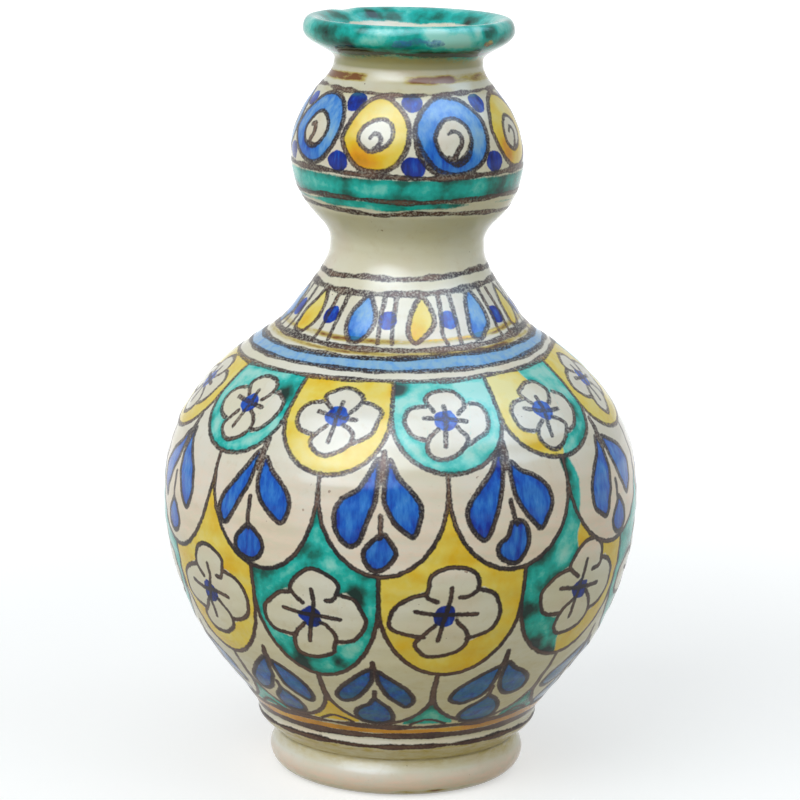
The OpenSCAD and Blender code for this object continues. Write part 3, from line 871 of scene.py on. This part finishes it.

# %% Where the green of the lip is deeper or thinner
# The pools near 309 mm deepen the green along the lower edge of the lip, which faces down: partly glaze
# that gathered, partly painted shade. The others mottle the lip.
LIP_POOLS_AND_SHADE = [(-50, 309, 5, 0.8), (-28, 309.5, 5, 0.9), (-38, 308.5, 5, 0.8), (5, 309, 5, 0.9),
             (18, 309.5, 5, 1.0), (32, 309, 5, 1.0), (46, 308.5, 4, 0.9), (-12, 309, 5, 0.5),
             (-60, 317.5, 3.6, 0.7), (-50, 318, 3.5, 0.8), (-43, 318.5, 3, 0.5), (-34, 315, 3, 0.3),
             (-75, 321, 5, -0.3), (-24, 316, 3, -0.7), (-14, 319, 4, -0.6), (12, 319, 4, -0.6),
             (20, 315.5, 4, -0.9), (30, 315, 4, -0.8), (40, 319, 3, -0.5), (-28, 314.5, 2.4, -0.6),
             (0, 315.5, 3, 0.4), (5, 317, 3, 0.35), (46, 318, 2.6, 0.9), (52, 319, 2.2, 0.8),
             (60, 315, 3, 0.5), (75, 314, 5, 0.5), (100, 312, 6, 0.7), (130, 309, 6, 0.8),
             (150, 316, 5, -0.6), (170, 309, 6, 0.9), (-160, 312, 6, 0.6), (-135, 317, 5, -0.6),
             (-120, 309, 6, 0.9), (-95, 309, 6, 0.8)]
pools(LIP_POOLS_AND_SHADE)
pools([(degrees, 329, 3, 0.45) for degrees in (-172, -158, -144, -128, -100, 104, 128, 143, 158, 172)])
pools([(-153, 327.5, 2, 1.3), (132, 330, 2.5, 0.9), (170, 324, 3, 0.4), (-120, 325, 3, 0.4),
       (150, 323.5, 3, -0.4), (-138, 323, 3, -0.3)])
print("pools drawn on the lip:", len(LIP_POOLS_AND_SHADE))

# %% Drips on the lip: three of blue, and one that fired brown
for drip in ((-4, 315.0, 5.5, 1.5), (5, 316.2, 7, 1.2), (14, 315.4, 5, 1.3)):
    where, distance = shape(unsteady(oval(*drip, turn=2), 0.25))
    lay("blue", where, np.maximum(distance, -0.06))
pool(-4, 315, 5, -0.1)
pool(5, 315.6, 9, 0.35, "stain_and_shade")
where, distance = shape(unsteady(oval(48.5, 314.3, 3.6, 1.3), 0.3))
wipe(where, distance, ["green"])
tint(where, distance < 0.4, 2.0, "stain_and_shade")
print("blue now covers", round(100 * float((PAINT["blue"] < 0).mean()), 1), "% of the skin")

# %% The yellow flange between its lines
FLANGE_LOW = [(-60, 34), (-20, 34), (0, 34.1), (30, 34.3), (50, 35.2), (150, 34)]
FLANGE_HIGH = [(-60, 37.2), (-20, 36.6), (0, 36.5), (30, 37), (60, 38.6), (150, 37.2)]
band("yellow", FLANGE_LOW, FLANGE_HIGH, 1.3, "warm", margin=1.5)
ring([(-60, 38.2), (0, 37.7), (40, 38.4), (60, 39.7), (150, 38.4)], 1.15, uneven=0.3)
ring([(-60, 32.9), (-30, 32.6), (0, 32.6), (20, 32.6), (40, 33), (60, 34), (150, 32.8)], 1.5, uneven=0.15)
ring([(-60, 28.4), (-20, 28.0), (0, 28.0), (60, 28.5), (150, 28.0)], 1.0, uneven=0.25)
print("flange line:", round(FLANGE_HIGH[2][1] - FLANGE_LOW[2][1], 1), "mm wide in front")

# %% Stains, glaze that gathered, and painted shade and light
soak_and_shade(level([(0, 5.6)], 0.5), level([(0, 6.3)], 0.3), 0.6,
     1.0 + np.sin(np.radians(5 * AROUND)) + 0.8 * np.sin(np.radians(23 * AROUND)))
# Stain along the wall, as (mm along, strength). The brown wear at the bottom of the foot and the brown ink
# line at 290 mm are real. The golden olive under the flange and over the top of the foot, low on the belly,
# on the neck and under the lip is painted shade. Paler and pinker on the bulge of the foot and just above
# the widest line of the belly: partly real pink, partly painted light.
STAINS_AND_SHADE = [(0, 1.0), (2, 1.1), (3.2, 0.5), (5, -0.5), (7, -1.1), (10.5, -1.0), (13, -0.4), (15, 0.3),
          (18, 0.8), (21, 0.8), (24, 0.6), (25.5, 1.1), (27, 1.1), (28.2, 0.5), (29.2, -0.3), (30.6, 0.0),
          (32, 0.2), (33, 0.4), (40, 0.4), (60, 0.34), (76, 0.25), (92, 0.1), (104, 0.0), (112, -0.8),
          (132, -0.6), (146, -0.1), (220, 0.0), (228, 0.1), (244, 0.12), (252, 0.1), (262, 0.0), (287, 0.0),
          (290, 0.45), (293, 0.1), (299, 0.2), (306, 0.3), (312, 0.2), (330, 0.1)]
dirt_and_shade = follow(STAINS_AND_SHADE, ROWS)[:, None]
# The stain and the painted shade are a quarter stronger towards the back right and a quarter weaker towards
# the front left.
PAINT["stain_and_shade"] += dirt_and_shade * (1 + 0.25 * np.sin(np.radians(AROUND - 60)))[None, :]
# More warmth turns the white olive. On the neck this is partly glaze that gathered and partly painted
# shade; under the lip it is painted shade.
GATHERED_AND_SHADE = [(215, 0), (228, 1.2), (244, 1.35), (252, 0), (297.5, 0), (300, 1.7), (306, 2.1), (310, 0)]
PAINT["warm"] += follow(GATHERED_AND_SHADE, ROWS)[:, None]
print("ink covers", round(100 * float((PAINT["ink"] < 0).mean()), 1), "% of the skin")

# %% [markdown]
# ## Cutting the sections from the skin
# The real vase is five hollow sections joined with slip, so each becomes a closed shell: a strip of the
# fine painted skin outside, and a plain, coarser wall inside. A single closed shell per section keeps the
# wall's true thickness, which shows at the mouth and under the foot, and the fine faces are spent only
# where the painting is. The flat rings where two sections meet lie inside the joint.

# %% The inside of the wall
COARSE = 4
INNER_COLUMNS = COLUMNS // COARSE
FLOOR_BELOW = FOOT_TOP + SLIP
FLOOR_TOP = FLOOR_BELOW + FLOOR
FLOOR_CORNER = 12.0


def inner_wall(low, high, count=22):
    """Points (radius, height) one wall in from the outside, from the top of a section down to its foot."""
    point = np.stack(on_outline(np.linspace(low, high, count)), axis=1)
    slope = np.gradient(point, axis=0)
    square = np.stack([-slope[:, 1], slope[:, 0]], axis=1)
    inside = point + WALL * square / np.linalg.norm(square, axis=1, keepdims=True)
    inside[0, 1], inside[-1, 1] = point[0, 1], point[-1, 1]
    return inside[::-1].tolist()


def belly_inside():
    """The inside of the lower belly: down the wall, round the corner and over the floor to the middle."""
    low, high = along_at(WALL_STATIONS[2][1]), along_at(BELLY_SEAM)
    wall = [point for point in inner_wall(low, high) if point[1] > FLOOR_TOP + 2]
    foot = wall[-1]
    corner = [(foot[0] * (1 - t) ** 2 + (foot[0] - 4) * 2 * t * (1 - t) + (foot[0] - FLOOR_CORNER) * t**2,
               foot[1] * (1 - t) ** 2 + FLOOR_TOP * (1 - (1 - t) ** 2)) for t in (0.25, 0.5, 0.75, 1)]
    return wall + corner + [(25.0, FLOOR_TOP), (10.0, FLOOR_TOP), (0.0, FLOOR_TOP)]


print("inside of the lower belly has", len(belly_inside()), "points")


# %% Rings of points, and the faces between them
def turned(points):
    """Coarse rings of the inside for a list of (radius, height), in metres, one row per point."""
    turn = np.radians(np.linspace(-180, 180, INNER_COLUMNS, endpoint=False))[None, :]
    radius, height = np.array(points)[:, :1], np.array(points)[:, 1:]
    return on_the_wheel(radius, height, turn)


def quads_between(first, rows, columns):
    """Faces of a grid of rings, numbered from a first vertex."""
    row, column = np.meshgrid(np.arange(rows - 1), np.arange(columns), indexing="ij")
    beside = (column + 1) % columns
    corners = np.stack([row * columns + column, row * columns + beside, (row + 1) * columns + beside,
                        (row + 1) * columns + column], axis=2)
    return first + corners.reshape(-1, 4), row.ravel(), column.ravel()


def joining_strip(outer, inner, upward):
    """Triangles between a fine ring outside and a coarse ring inside."""
    faces = []
    for j in range(INNER_COLUMNS):
        k = (j + 1) % INNER_COLUMNS
        fine = [outer + (j * COARSE + n) % COLUMNS for n in range(COARSE + 1)]
        faces += [(a, b, inner + j) for a, b in zip(fine, fine[1:])] + [(fine[-1], inner + k, inner + j)]
    faces = np.array(faces)
    return faces if upward else faces[:, ::-1]


def fan(first, middle, upward):
    """Triangles from a coarse ring to a point in its middle."""
    ring_of = first + np.arange(INNER_COLUMNS)
    faces = np.stack([ring_of, np.roll(ring_of, -1), np.full(INNER_COLUMNS, middle)], axis=1)
    return faces if upward else faces[:, ::-1]


print("a ring inside has", len(fan(0, 0, True)), "faces, a ring of the skin", COLUMNS)


# %% Meshes from arrays, with flat places and paint on them
MARGIN = 0.01


def bake_places(rows, columns, row_count, column_count, bands, first_band, all_bands):
    """Flat places for a grid of faces: cut into bands round the vase, one laid above the other."""
    per_band = column_count // bands
    band = columns // per_band
    u = (columns % per_band)[:, None] + np.array([0, 1, 1, 0])
    v = rows[:, None] + np.array([0, 0, 1, 1])
    u = MARGIN + (1 - 2 * MARGIN) * u / per_band
    v = (first_band + band[:, None] + MARGIN + (1 - 2 * MARGIN) * v / (row_count - 1)) / all_bands
    return np.stack([u, v], axis=2).reshape(-1, 2)


def make_piece(name, vertices, quads, triangles, places, flat_place):
    """A mesh object from arrays of vertices, four-sided faces and triangles."""
    mesh = bpy.data.meshes.new(name)
    mesh.vertices.add(len(vertices))
    mesh.vertices.foreach_set("co", vertices.astype(np.float32).ravel())
    corners = np.concatenate([quads.ravel(), triangles.ravel()]).astype(np.int32)
    mesh.loops.add(len(corners))
    mesh.loops.foreach_set("vertex_index", corners)
    starts = np.concatenate([np.arange(len(quads)) * 4, len(quads) * 4 + np.arange(len(triangles)) * 3])
    mesh.polygons.add(len(starts))
    mesh.polygons.foreach_set("loop_start", starts.astype(np.int32))
    mesh.polygons.foreach_set("use_smooth", np.arange(len(starts)) < len(quads))
    flat = np.tile([flat_place], (triangles.size, 1))
    layer = mesh.uv_layers.new(name="OFBake")
    layer.data.foreach_set("uv", np.concatenate([places, flat]).astype(np.float32).ravel())
    mesh.update(calc_edges=True)
    piece = bpy.data.objects.new(name, mesh)
    bpy.context.scene.collection.objects.link(piece)
    return piece


def paint_piece(piece, low, high, fine_count):
    """Carry the sheets of paint and the normals of the skin over to the vertices of one section."""
    total = len(piece.data.vertices)
    for name, sheet in PAINT.items():
        values = np.full(total, BARE if name in COLOURS else 0.0, np.float32)
        values[:fine_count] = sheet[low:high + 1].ravel()
        piece.data.attributes.new(name, "FLOAT", "POINT").data.foreach_set("value", values)
    normals = np.zeros((total, 3), np.float32)
    normals[:fine_count] = SKIN_NORMALS[low:high + 1].reshape(-1, 3)
    piece.data.normals_split_custom_set_from_vertices(normals)


print("each vertex of the skin carries", len(PAINT), "sheets of paint")


# %% Building one closed shell
def build_shell(name, low, high, inside, bands, under=None):
    """A section between two rows of the skin, with the points of its inside and its underside."""
    row_count = high - low + 1
    skin = SKIN[low:high + 1].reshape(-1, 3)
    chains = [inside] if under is None else [inside, under]
    layers = bands + len(chains)
    faces, rows, columns = quads_between(0, row_count, COLUMNS)
    vertices, quads, triangles = [skin], [faces], []
    places = [bake_places(rows, columns, row_count, COLUMNS, bands, 0, layers)]
    start = len(skin)
    for number, chain in enumerate(chains):
        # where there is a floor, the inside ends in a point and the underside starts from one
        middle = None if under is None else chain[-1] if chain is inside else chain[0]
        rings = [point for point in chain if point is not middle]
        block = turned(rings).reshape(-1, 3)
        faces, rows, columns = quads_between(start, len(rings), INNER_COLUMNS)
        vertices.append(block)
        quads.append(faces)
        places.append(bake_places(rows, columns, len(rings), INNER_COLUMNS, 1, bands + number, layers))
        first, last = start, start + len(block) - INNER_COLUMNS
        start += len(block)
        if middle:
            vertices.append(turned([middle])[0, :1])
            triangles.append(fan(last, start, True) if chain is inside else fan(first, start, False))
            start += 1
        if chain is chains[0]:
            triangles.append(joining_strip((row_count - 1) * COLUMNS, first, True))
        if chain is chains[-1]:
            triangles.append(joining_strip(0, last, False))
    piece = make_piece(name, np.concatenate(vertices), np.concatenate(quads), np.concatenate(triangles),
                       np.concatenate(places), (0.5, (bands + 0.5) / layers))
    paint_piece(piece, low, high, len(skin))
    return piece


print("a shell is closed by strips of", len(joining_strip(0, 0, True)), "triangles")

# %% The five thrown sections
throat_inside = WALL_STATIONS[-3][0] - WALL
hollow = [(HOLLOW_RADIUS, height) for height in (FOOT_TOP, 9.0, 4.0, 0.6)] + [(HOLLOW_RADIUS + 0.6, 0.0)]
foot = build_shell("Foot", 0, SEAM_MARKS[1], hollow, 4)
lower_belly = build_shell("LowerBelly", SEAM_MARKS[2], SEAM_MARKS[3], belly_inside(), 2,
                          under=[(radius, FLOOR_BELOW) for radius in (0.0, 12.0, 31.0, 43.0)])
upper_belly = build_shell("UpperBelly", SEAM_MARKS[3], SEAM_MARKS[4],
                          inner_wall(SEAM_ROWS[3], SEAM_ROWS[4], 30), 2)
bulb = build_shell("NeckBulb", SEAM_MARKS[4], SEAM_MARKS[5], inner_wall(SEAM_ROWS[4], SEAM_ROWS[5], 24), 2)
mouth = build_shell("Mouth", SEAM_MARKS[5], SEAM_MARKS[6],
                    [(throat_inside, THROAT_SEAM + 0.25), (throat_inside, THROAT_SEAM)], 2)
for piece in (foot, lower_belly, upper_belly, bulb, mouth):
    print(piece.name, len(piece.data.vertices), "vertices", len(piece.data.polygons), "faces")

# %% [markdown]
# ## The glaze
# A tin glaze is a white glass a third of a millimetre thick. The oxides lie in its surface, so paint and
# glaze shine alike. The material reads the sheets of paint, roughens their edges with fine noise as
# the wet glaze does in the kiln, turns the depth of each wash into a colour from pale to pooled, and lays
# the ink on top. Manganese ink fires grainy: it is speckled, never quite closed, and dries darker at its
# rims. Real glass bends light more than the index of 1.3 here, but this room is white all round, and its
# mirror image would lay a haze over the dark blue.

# %% Small helpers for node trees
def linear(red, green, blue):
    """A colour written as a painter's 0-255 mix, turned into the light values the renderer works with."""
    return [((v / 255 + 0.055) / 1.055) ** 2.4 if v > 10 else v / 255 / 12.92
            for v in (red, green, blue)] + [1.0]


class Recipe:
    """The node tree of a material or a world, with one short method for each kind of step."""

    def __init__(self, owner):
        owner.use_nodes = True
        self.owner, self.tree = owner, owner.node_tree
        self.tree.nodes.clear()
        self.place = self.node("ShaderNodeTexCoord", {}).outputs["Object"]

    def node(self, kind, inputs, **settings):
        made = self.tree.nodes.new(kind)
        for key, value in settings.items():
            setattr(made, key, value)
        for key, value in inputs.items():
            if isinstance(value, bpy.types.NodeSocket):
                self.tree.links.new(value, made.inputs[key])
            else:
                made.inputs[key].default_value = value
        return made

    def math(self, operation, *values):
        return self.node("ShaderNodeMath", dict(enumerate(values)), operation=operation).outputs[0]

    def sheet(self, name):
        return self.node("ShaderNodeAttribute", {}, attribute_name=name).outputs["Fac"]

    def stretch(self, low, high, value):
        return self.node("ShaderNodeMapRange", {0: value, 1: low, 2: high}).outputs[0]

    def noise(self, size_mm, detail=2.0, rough=0.5, squeeze=None):
        where = self.place
        if squeeze:
            where = self.node("ShaderNodeVectorMath", {0: where, 1: squeeze},
                              operation="MULTIPLY").outputs[0]
        return self.node("ShaderNodeTexNoise", {"Vector": where, "Scale": 1 / (size_mm * MM),
                                                "Detail": detail, "Roughness": rough}).outputs[0]

    def fade(self, value, low, high, to_low=0.0, to_high=1.0):
        return self.node("ShaderNodeMapRange", {0: value, 1: low, 2: high, 3: to_low, 4: to_high},
                         interpolation_type="SMOOTHSTEP").outputs[0]

    def blend(self, amount, first, second):
        return self.node("ShaderNodeMix", {0: amount, 6: first, 7: second}, data_type="RGBA").outputs[2]

    def scale_of(self, value, low, high, colours):
        """Colours along a scale of depth, from the thinnest wash to the deepest pool."""
        ramp = self.node("ShaderNodeValToRGB", {"Fac": self.stretch(low, high, value)})
        stops = ramp.color_ramp.elements
        while len(stops) < len(colours):
            stops.new(0.5)
        for stop, (depth, colour) in zip(stops, colours):
            stop.position = (depth - low) / (high - low)
            stop.color = linear(*colour)
        return ramp.outputs[0]

    def finish(self, shader, output="ShaderNodeOutputMaterial"):
        """Join the last shader to the output; what owns the tree is then ready for use."""
        self.node(output, {0: shader.outputs[0]})
        return self.owner


print("a middle grey of 128 is", round(linear(128, 128, 128)[0], 3), "in light")


# %% The white under the painting
def white_glaze(r, dirt_and_shade, blotch):
    """Off-white, pinker and greyer in clouds, with pinholes, olive where glaze gathered and as painted
    shade, then stained, with painted shade and light.
    """
    white = r.blend(r.fade(blotch, 0.35, 0.7), linear(234, 231, 220), linear(228, 222, 198))
    white = r.blend(r.fade(r.noise(24.0, 3), 0.54, 0.76, 0.0, 0.35), white, linear(228, 200, 180))
    white = r.blend(r.fade(r.noise(4.0, 4, 0.7), 0.5, 0.8, 0.0, 0.35), white, linear(206, 188, 152))
    white = r.blend(r.fade(r.noise(2.6, 2), 0.745, 0.78, 0.0, 0.8), white, linear(112, 74, 50))
    # Olive where the warm sheet is high: gathered glaze, and painted shade on the neck and under the lip.
    white = r.blend(r.fade(r.sheet("warm"), 0.9, 2.0), white, linear(160, 160, 116))
    # Positive stain turns the white golden olive, then brown: real stain and wear, and painted shade in the
    # hollows and low on the belly. Negative stain makes it paler and pinker, partly painted light.
    for least, most, colour in ((0, 1, (200, 180, 100)), (1, 2, (134, 84, 42)), (0, -1, (250, 224, 206))):
        white = r.blend(r.stretch(least, most, dirt_and_shade), white, linear(*colour))
    return white


YELLOW = [(-0.6, (241, 228, 146)), (-0.1, (240, 214, 88)), (0.35, (238, 194, 34)), (0.8, (232, 158, 14)),
          (1.3, (186, 130, 0))]
GREEN = [(-0.8, (158, 224, 214)), (-0.3, (104, 212, 202)), (0.15, (20, 188, 180)), (0.55, (0, 160, 150)),
         (0.95, (0, 116, 104)), (1.6, (4, 50, 42))]
BLUE = [(-0.8, (148, 190, 220)), (-0.35, (112, 170, 228)), (0.1, (54, 134, 222)), (0.5, (16, 98, 206)),
        (0.9, (0, 48, 166)), (1.3, (0, 22, 100))]
print("colours from thin to pooled:", len(YELLOW), "yellows,", len(GREEN), "greens and", len(BLUE), "blues")


# %% Yellow, green and blue
def washes(r, painted, ragged, tone, dirt_and_shade):
    """The three washes, one over the other; each is deeper where its tone is, and near the ink."""
    warm = r.math("ADD", r.sheet("warm"), r.math("MULTIPLY_ADD", r.noise(11.0, 3), 2.6, -1.25))
    near_ink = r.fade(r.sheet("ink"), 0.2, 2.6, 1.0, 0.0)

    def covered(sheet, raggedness, soft):
        edge = r.math("MULTIPLY_ADD", ragged, raggedness, r.sheet(sheet))
        return r.fade(edge, -soft, soft, 1.0, 0.0)

    depth = r.math("MULTIPLY_ADD", warm, 0.6, r.math("MULTIPLY_ADD", tone, 0.45, 0.08))
    painted = r.blend(covered("yellow", 0.7, 0.35), painted, r.scale_of(depth, -0.6, 1.3, YELLOW))
    depth = r.math("MULTIPLY_ADD", near_ink, 0.5, r.math("MULTIPLY_ADD", tone, 1.4, 0.06))
    painted = r.blend(covered("green", 0.9, 0.5), painted, r.scale_of(depth, -0.8, 1.6, GREEN))
    streaks = r.math("MULTIPLY_ADD", r.noise(2.2, 3, 0.6, (1, 1, 0.25)), -1.75, 0.85)
    depth = r.math("ADD", streaks, r.math("MULTIPLY_ADD", near_ink, 0.2, r.sheet("tone")))
    # The blue goes grey-green where the stain sheet is positive, which low on the belly is partly painted
    # shade.
    greener = r.fade(dirt_and_shade, 0.05, 0.4, 0.0, 0.8)
    blue = r.blend(greener, r.scale_of(depth, -0.8, 1.3, BLUE), linear(38, 110, 136))
    return r.blend(covered("blue", 0.5, 0.25), painted, blue)


print("washes go on in the order yellow, green, blue")


# %% Manganese ink
def ink(r, painted, ink_edge, brush, cloud, blotch, dirt_and_shade):
    """Grainy ink: speckled, brown inside wide strokes, dark at their rims and darkest next to blue."""
    height = r.node("ShaderNodeSeparateXYZ", {0: r.place}).outputs[2]
    closed = r.math("MAXIMUM", r.fade(height, 90 * MM, 150 * MM, 0.95, 0.58),
                    r.fade(height, 195 * MM, 215 * MM, 0, 0.75))
    speckle = r.fade(r.math("MULTIPLY_ADD", brush, 0.35, r.noise(0.75, 1)), 0.58, 0.9, 1.0, closed)
    rusty = r.fade(r.math("MULTIPLY_ADD", dirt_and_shade, 2.0, blotch), 0.35, 1.0, 0.1, 0.9)
    colour = r.blend(rusty, linear(20, 13, 20), linear(74, 46, 36))
    core = r.math("MULTIPLY", r.fade(r.sheet("ink"), -0.85, -0.2, 0.75, 0.0), r.fade(cloud, 0.38, 0.62))
    colour = r.blend(core, colour, linear(116, 84, 66))
    colour = r.blend(r.fade(r.sheet("blue"), 0.2, 1.2, 0.8, 0.0), colour, linear(16, 12, 22))
    return r.blend(r.math("MULTIPLY", ink_edge, speckle), painted, colour)


print("widest stroke of ink:", round(-2 * float(PAINT["ink"].min()), 1), "mm")


# %% The whole glaze
def glaze(name, roughness):
    """White tin glaze with everything that is painted on it, and a gloss that ripples a little."""
    r = Recipe(bpy.data.materials.new(name))
    brush, cloud, blotch = r.noise(5.0, 4, 0.6), r.noise(14.0, 3), r.noise(38.0, 3)
    ragged = r.math("ADD", r.math("MULTIPLY_ADD", r.noise(1.3, 3), 1.1, -0.55),
                    r.math("MULTIPLY_ADD", r.noise(0.45, 2), 0.7, -0.35))
    tone = r.math("ADD", r.sheet("tone"), r.math("MULTIPLY_ADD", r.math("ADD", brush, cloud), 1.7, -1.7))
    patchy = r.fade(r.noise(6.0, 4, 0.65, (1, 1, 3)), 0.25, 0.75, 0.35, 1.3)
    # The stain sheet, mottled: stains together with painted shade and painted light.
    dirt_and_shade = r.math("MULTIPLY", r.sheet("stain_and_shade"), patchy)
    painted = washes(r, white_glaze(r, dirt_and_shade, blotch), ragged, tone, dirt_and_shade)
    ink_edge = r.fade(r.math("MULTIPLY_ADD", ragged, 0.75, r.sheet("ink")), -0.26, 0.26, 1.0, 0.0)
    painted = ink(r, painted, ink_edge, brush, cloud, blotch, dirt_and_shade)
    ripple = r.math("MULTIPLY_ADD", r.noise(9.0, 2), 0.9, r.math("MULTIPLY", r.noise(2.2, 2), 0.16))
    relief = r.math("MULTIPLY_ADD", ink_edge, 0.05, ripple)
    bump = r.node("ShaderNodeBump", {"Strength": 0.35, "Distance": 0.12 * MM, "Height": relief})
    return r.finish(r.node("ShaderNodeBsdfPrincipled", {
        "Base Color": painted, "Roughness": r.fade(ink_edge, 0, 1, roughness, 0.3),
        "Normal": bump.outputs[0], "IOR": 1.3}))


tin_glaze, lip_glaze = glaze("TinGlaze", 0.12), glaze("GreenGlaze", 0.09)
for piece in (foot, lower_belly, upper_belly, bulb):
    piece.data.materials.append(tin_glaze)
mouth.data.materials.append(lip_glaze)
print("glazes:", tin_glaze.name, lip_glaze.name)

# %% [markdown]
# ## The ring of slip over the foot
# Between the foot ring and the flange the slip was sponged back, which leaves a narrow matt groove where
# the clay shows, stained olive by the glaze beside it. It is a piece of its own, so that it can be left
# without glaze.

# %% The slip in the groove
def bare_clay(name):
    """Fired slip without glaze, matt and a little gritty."""
    r = Recipe(bpy.data.materials.new(name))
    colour = r.blend(r.fade(r.noise(3.0, 4), 0.3, 0.7), linear(204, 190, 146), linear(182, 164, 118))
    bump = r.node("ShaderNodeBump", {"Strength": 0.5, "Distance": 0.2 * MM, "Height": r.noise(0.8, 3)})
    return r.finish(r.node("ShaderNodeBsdfPrincipled", {"Base Color": colour, "Normal": bump.outputs[0],
                                                        "Roughness": 0.85}))


SLIP_BACK = 1.2
slip_outside = GROOVE_RADIUS - SLIP_BACK
slip_points = [(slip_outside, FOOT_TOP), (slip_outside, FLOOR_BELOW), (HOLLOW_RADIUS, FLOOR_BELOW),
               (HOLLOW_RADIUS, FOOT_TOP)]
slip_block = turned(slip_points).reshape(-1, 3)
faces, rows, columns = quads_between(0, len(slip_points) + 1, INNER_COLUMNS)
places = bake_places(rows, columns, len(slip_points) + 1, INNER_COLUMNS, 4, 0, 4)
foot_slip = make_piece("FootSlip", slip_block, faces % len(slip_block), np.zeros((0, 3), int), places,
                       (0.5, 0.5))
foot_slip.data.shade_flat()
foot_slip.data.materials.append(bare_clay("Slip"))
print("slip ring:", len(foot_slip.data.polygons), "faces")

# %% [markdown]
# ## Which solid each piece stands for
# The painted sections take the place of the plain solids, and each slip layer that is hidden in a seam is
# covered by the section above it. All of them ride on the one body of the vase.

# %% Pieces, solids and glazes
STANDS_FOR = [(foot, ["foot_ring"], "tin_glaze"), (foot_slip, ["foot_slip"], "slip"),
              (lower_belly, ["lower_belly"], "tin_glaze"),
              (upper_belly, ["upper_belly", "belly_slip"], "tin_glaze"),
              (bulb, ["neck_bulb", "neck_slip"], "tin_glaze"),
              (mouth, ["mouth_rim", "throat_slip"], "green_glaze")]
for piece, nodes, slot in STANDS_FOR:
    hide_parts(*nodes)
    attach(piece, "root")
print("pieces that ride on the vase:", [piece.name for piece, _, _ in STANDS_FOR])

# %% [markdown]
# ## Table, light and camera
# The vase stands on a plain pale table that runs out of sight. Its light comes in two sets. Three soft
# panels light the clay and are not mirrored, so the colours come out about as they are written. Three wide
# windows are seen only in the glaze: one makes the milky band on the shoulder, the others the bright spots
# on neck and lip. A narrow spread dims a window towards its edges, which keeps the reflections soft.
# Table and room are plain white wherever they are seen, straight or in the gloss, and give the clay only
# a dim light; the table still takes the shadow. The camera looks slightly down, with a long lens.

# %% One look for the light, another for the eye
def two_faced(r, for_light, for_eye):
    """A shader that lights the vase as one thing, and is seen, mirrored and seen through as another."""
    path = r.node("ShaderNodeLightPath", {}).outputs
    mirrored = r.math("MAXIMUM", path["Is Glossy Ray"], path["Is Transmission Ray"])
    seen = r.math("MAXIMUM", path["Is Camera Ray"], mirrored)
    return r.node("ShaderNodeMixShader", {0: seen, 1: for_light.outputs[0], 2: for_eye.outputs[0]})


WHITE = (1.0, 1.0, 1.0, 1.0)
r = Recipe(bpy.data.worlds.new("WhiteRoom"))
dim = r.node("ShaderNodeBackground", {"Color": (0.92, 0.97, 1.0, 1.0), "Strength": 0.44})
bpy.context.scene.world = r.finish(two_faced(r, dim, r.node("ShaderNodeBackground", {"Color": WHITE})),
                                   "ShaderNodeOutputWorld")
print("room:", bpy.context.scene.world.name)

# %% The table
bpy.ops.mesh.primitive_plane_add(size=40, location=(0, 0, 0))
table = bpy.context.object
table.name = "Table"
r = Recipe(bpy.data.materials.new("PaleTable"))
matt = r.node("ShaderNodeBsdfDiffuse", {"Color": linear(180, 170, 132)})
pale = r.node("ShaderNodeBsdfDiffuse", {"Color": linear(215, 215, 214)})
far = r.node("ShaderNodeVectorMath", {0: r.place}, operation="LENGTH").outputs["Value"]
bright = r.node("ShaderNodeEmission", {"Color": WHITE, "Strength": r.fade(far, 0.2, 0.9, 0.5, 1.0)})
both = r.node("ShaderNodeAddShader", {0: pale.outputs[0], 1: bright.outputs[0]})
table.data.materials.append(r.finish(two_faced(r, matt, both)))
print("table:", table.dimensions[0], "m wide")


# %% Soft panels for the clay, soft windows for the glaze
AIMED_AT = Vector((0, 0, 0.14))


def panel(name, azimuth, rise, distance, wide, high, brightness, colour, mirrored=False, spread=180):
    """A soft panel that faces the vase; azimuth is 0 in front, rise is upwards, both in degrees."""
    turn, up = math.radians(azimuth), math.radians(rise)
    towards = Vector((math.sin(turn) * math.cos(up), -math.cos(turn) * math.cos(up), math.sin(up)))
    light = bpy.data.lights.new(name, "AREA")
    light.shape, light.size, light.size_y, light.color = "RECTANGLE", wide, high, colour
    light.energy, light.spread = brightness * math.pi * wide * high, math.radians(spread)
    holder = bpy.data.objects.new(name, light)
    holder.location = AIMED_AT + towards * distance
    holder.rotation_euler = (-towards).to_track_quat("-Z", "Y").to_euler()
    holder.visible_glossy, holder.visible_diffuse = mirrored, not mirrored
    bpy.context.scene.collection.objects.link(holder)


panel("FrontLight", -42, 34, 2.1, 1.9, 1.7, 2.26, (0.95, 0.985, 1.0))
panel("TopLight", 20, 72, 1.9, 2.4, 2.0, 0.12, (0.8, 0.93, 1.0))
panel("SideLight", 70, 42, 1.9, 1.6, 1.2, 0.9, (0.85, 0.95, 1.0))
panel("LeftWindow", -31, 45, 2.0, 2.8, 2.2, 2.6, (0.76, 0.85, 1.0), mirrored=True, spread=66)
panel("HighWindow", 38, 62, 1.8, 2.6, 2.2, 1.9, (0.7, 0.83, 1.0), mirrored=True, spread=70)
panel("RightWindow", 88, 52, 1.8, 1.6, 1.4, 1.25, (0.5, 0.72, 1.0), mirrored=True, spread=70)

# %% The camera
LENS, SENSOR = 143.66, 36.0
CAMERA_PLACE = (-0.00086, -1.1139, 0.3621)
LOOK_DOWN, LEAN = math.radians(11.582), math.radians(1.053)
camera_data = bpy.data.cameras.new("Camera")
camera_data.lens, camera_data.sensor_width = LENS, SENSOR
camera = bpy.data.objects.new("Camera", camera_data)
turned_down = Matrix.Rotation(math.pi / 2 - LOOK_DOWN, 4, "X") @ Matrix.Rotation(LEAN, 4, "Z")
camera.matrix_world = Matrix.Translation(CAMERA_PLACE) @ turned_down
bpy.context.scene.collection.objects.link(camera)
bpy.context.scene.camera = camera
bpy.context.scene.view_settings.view_transform = "Standard"
print("camera at", CAMERA_PLACE, "with a", LENS, "mm lens")
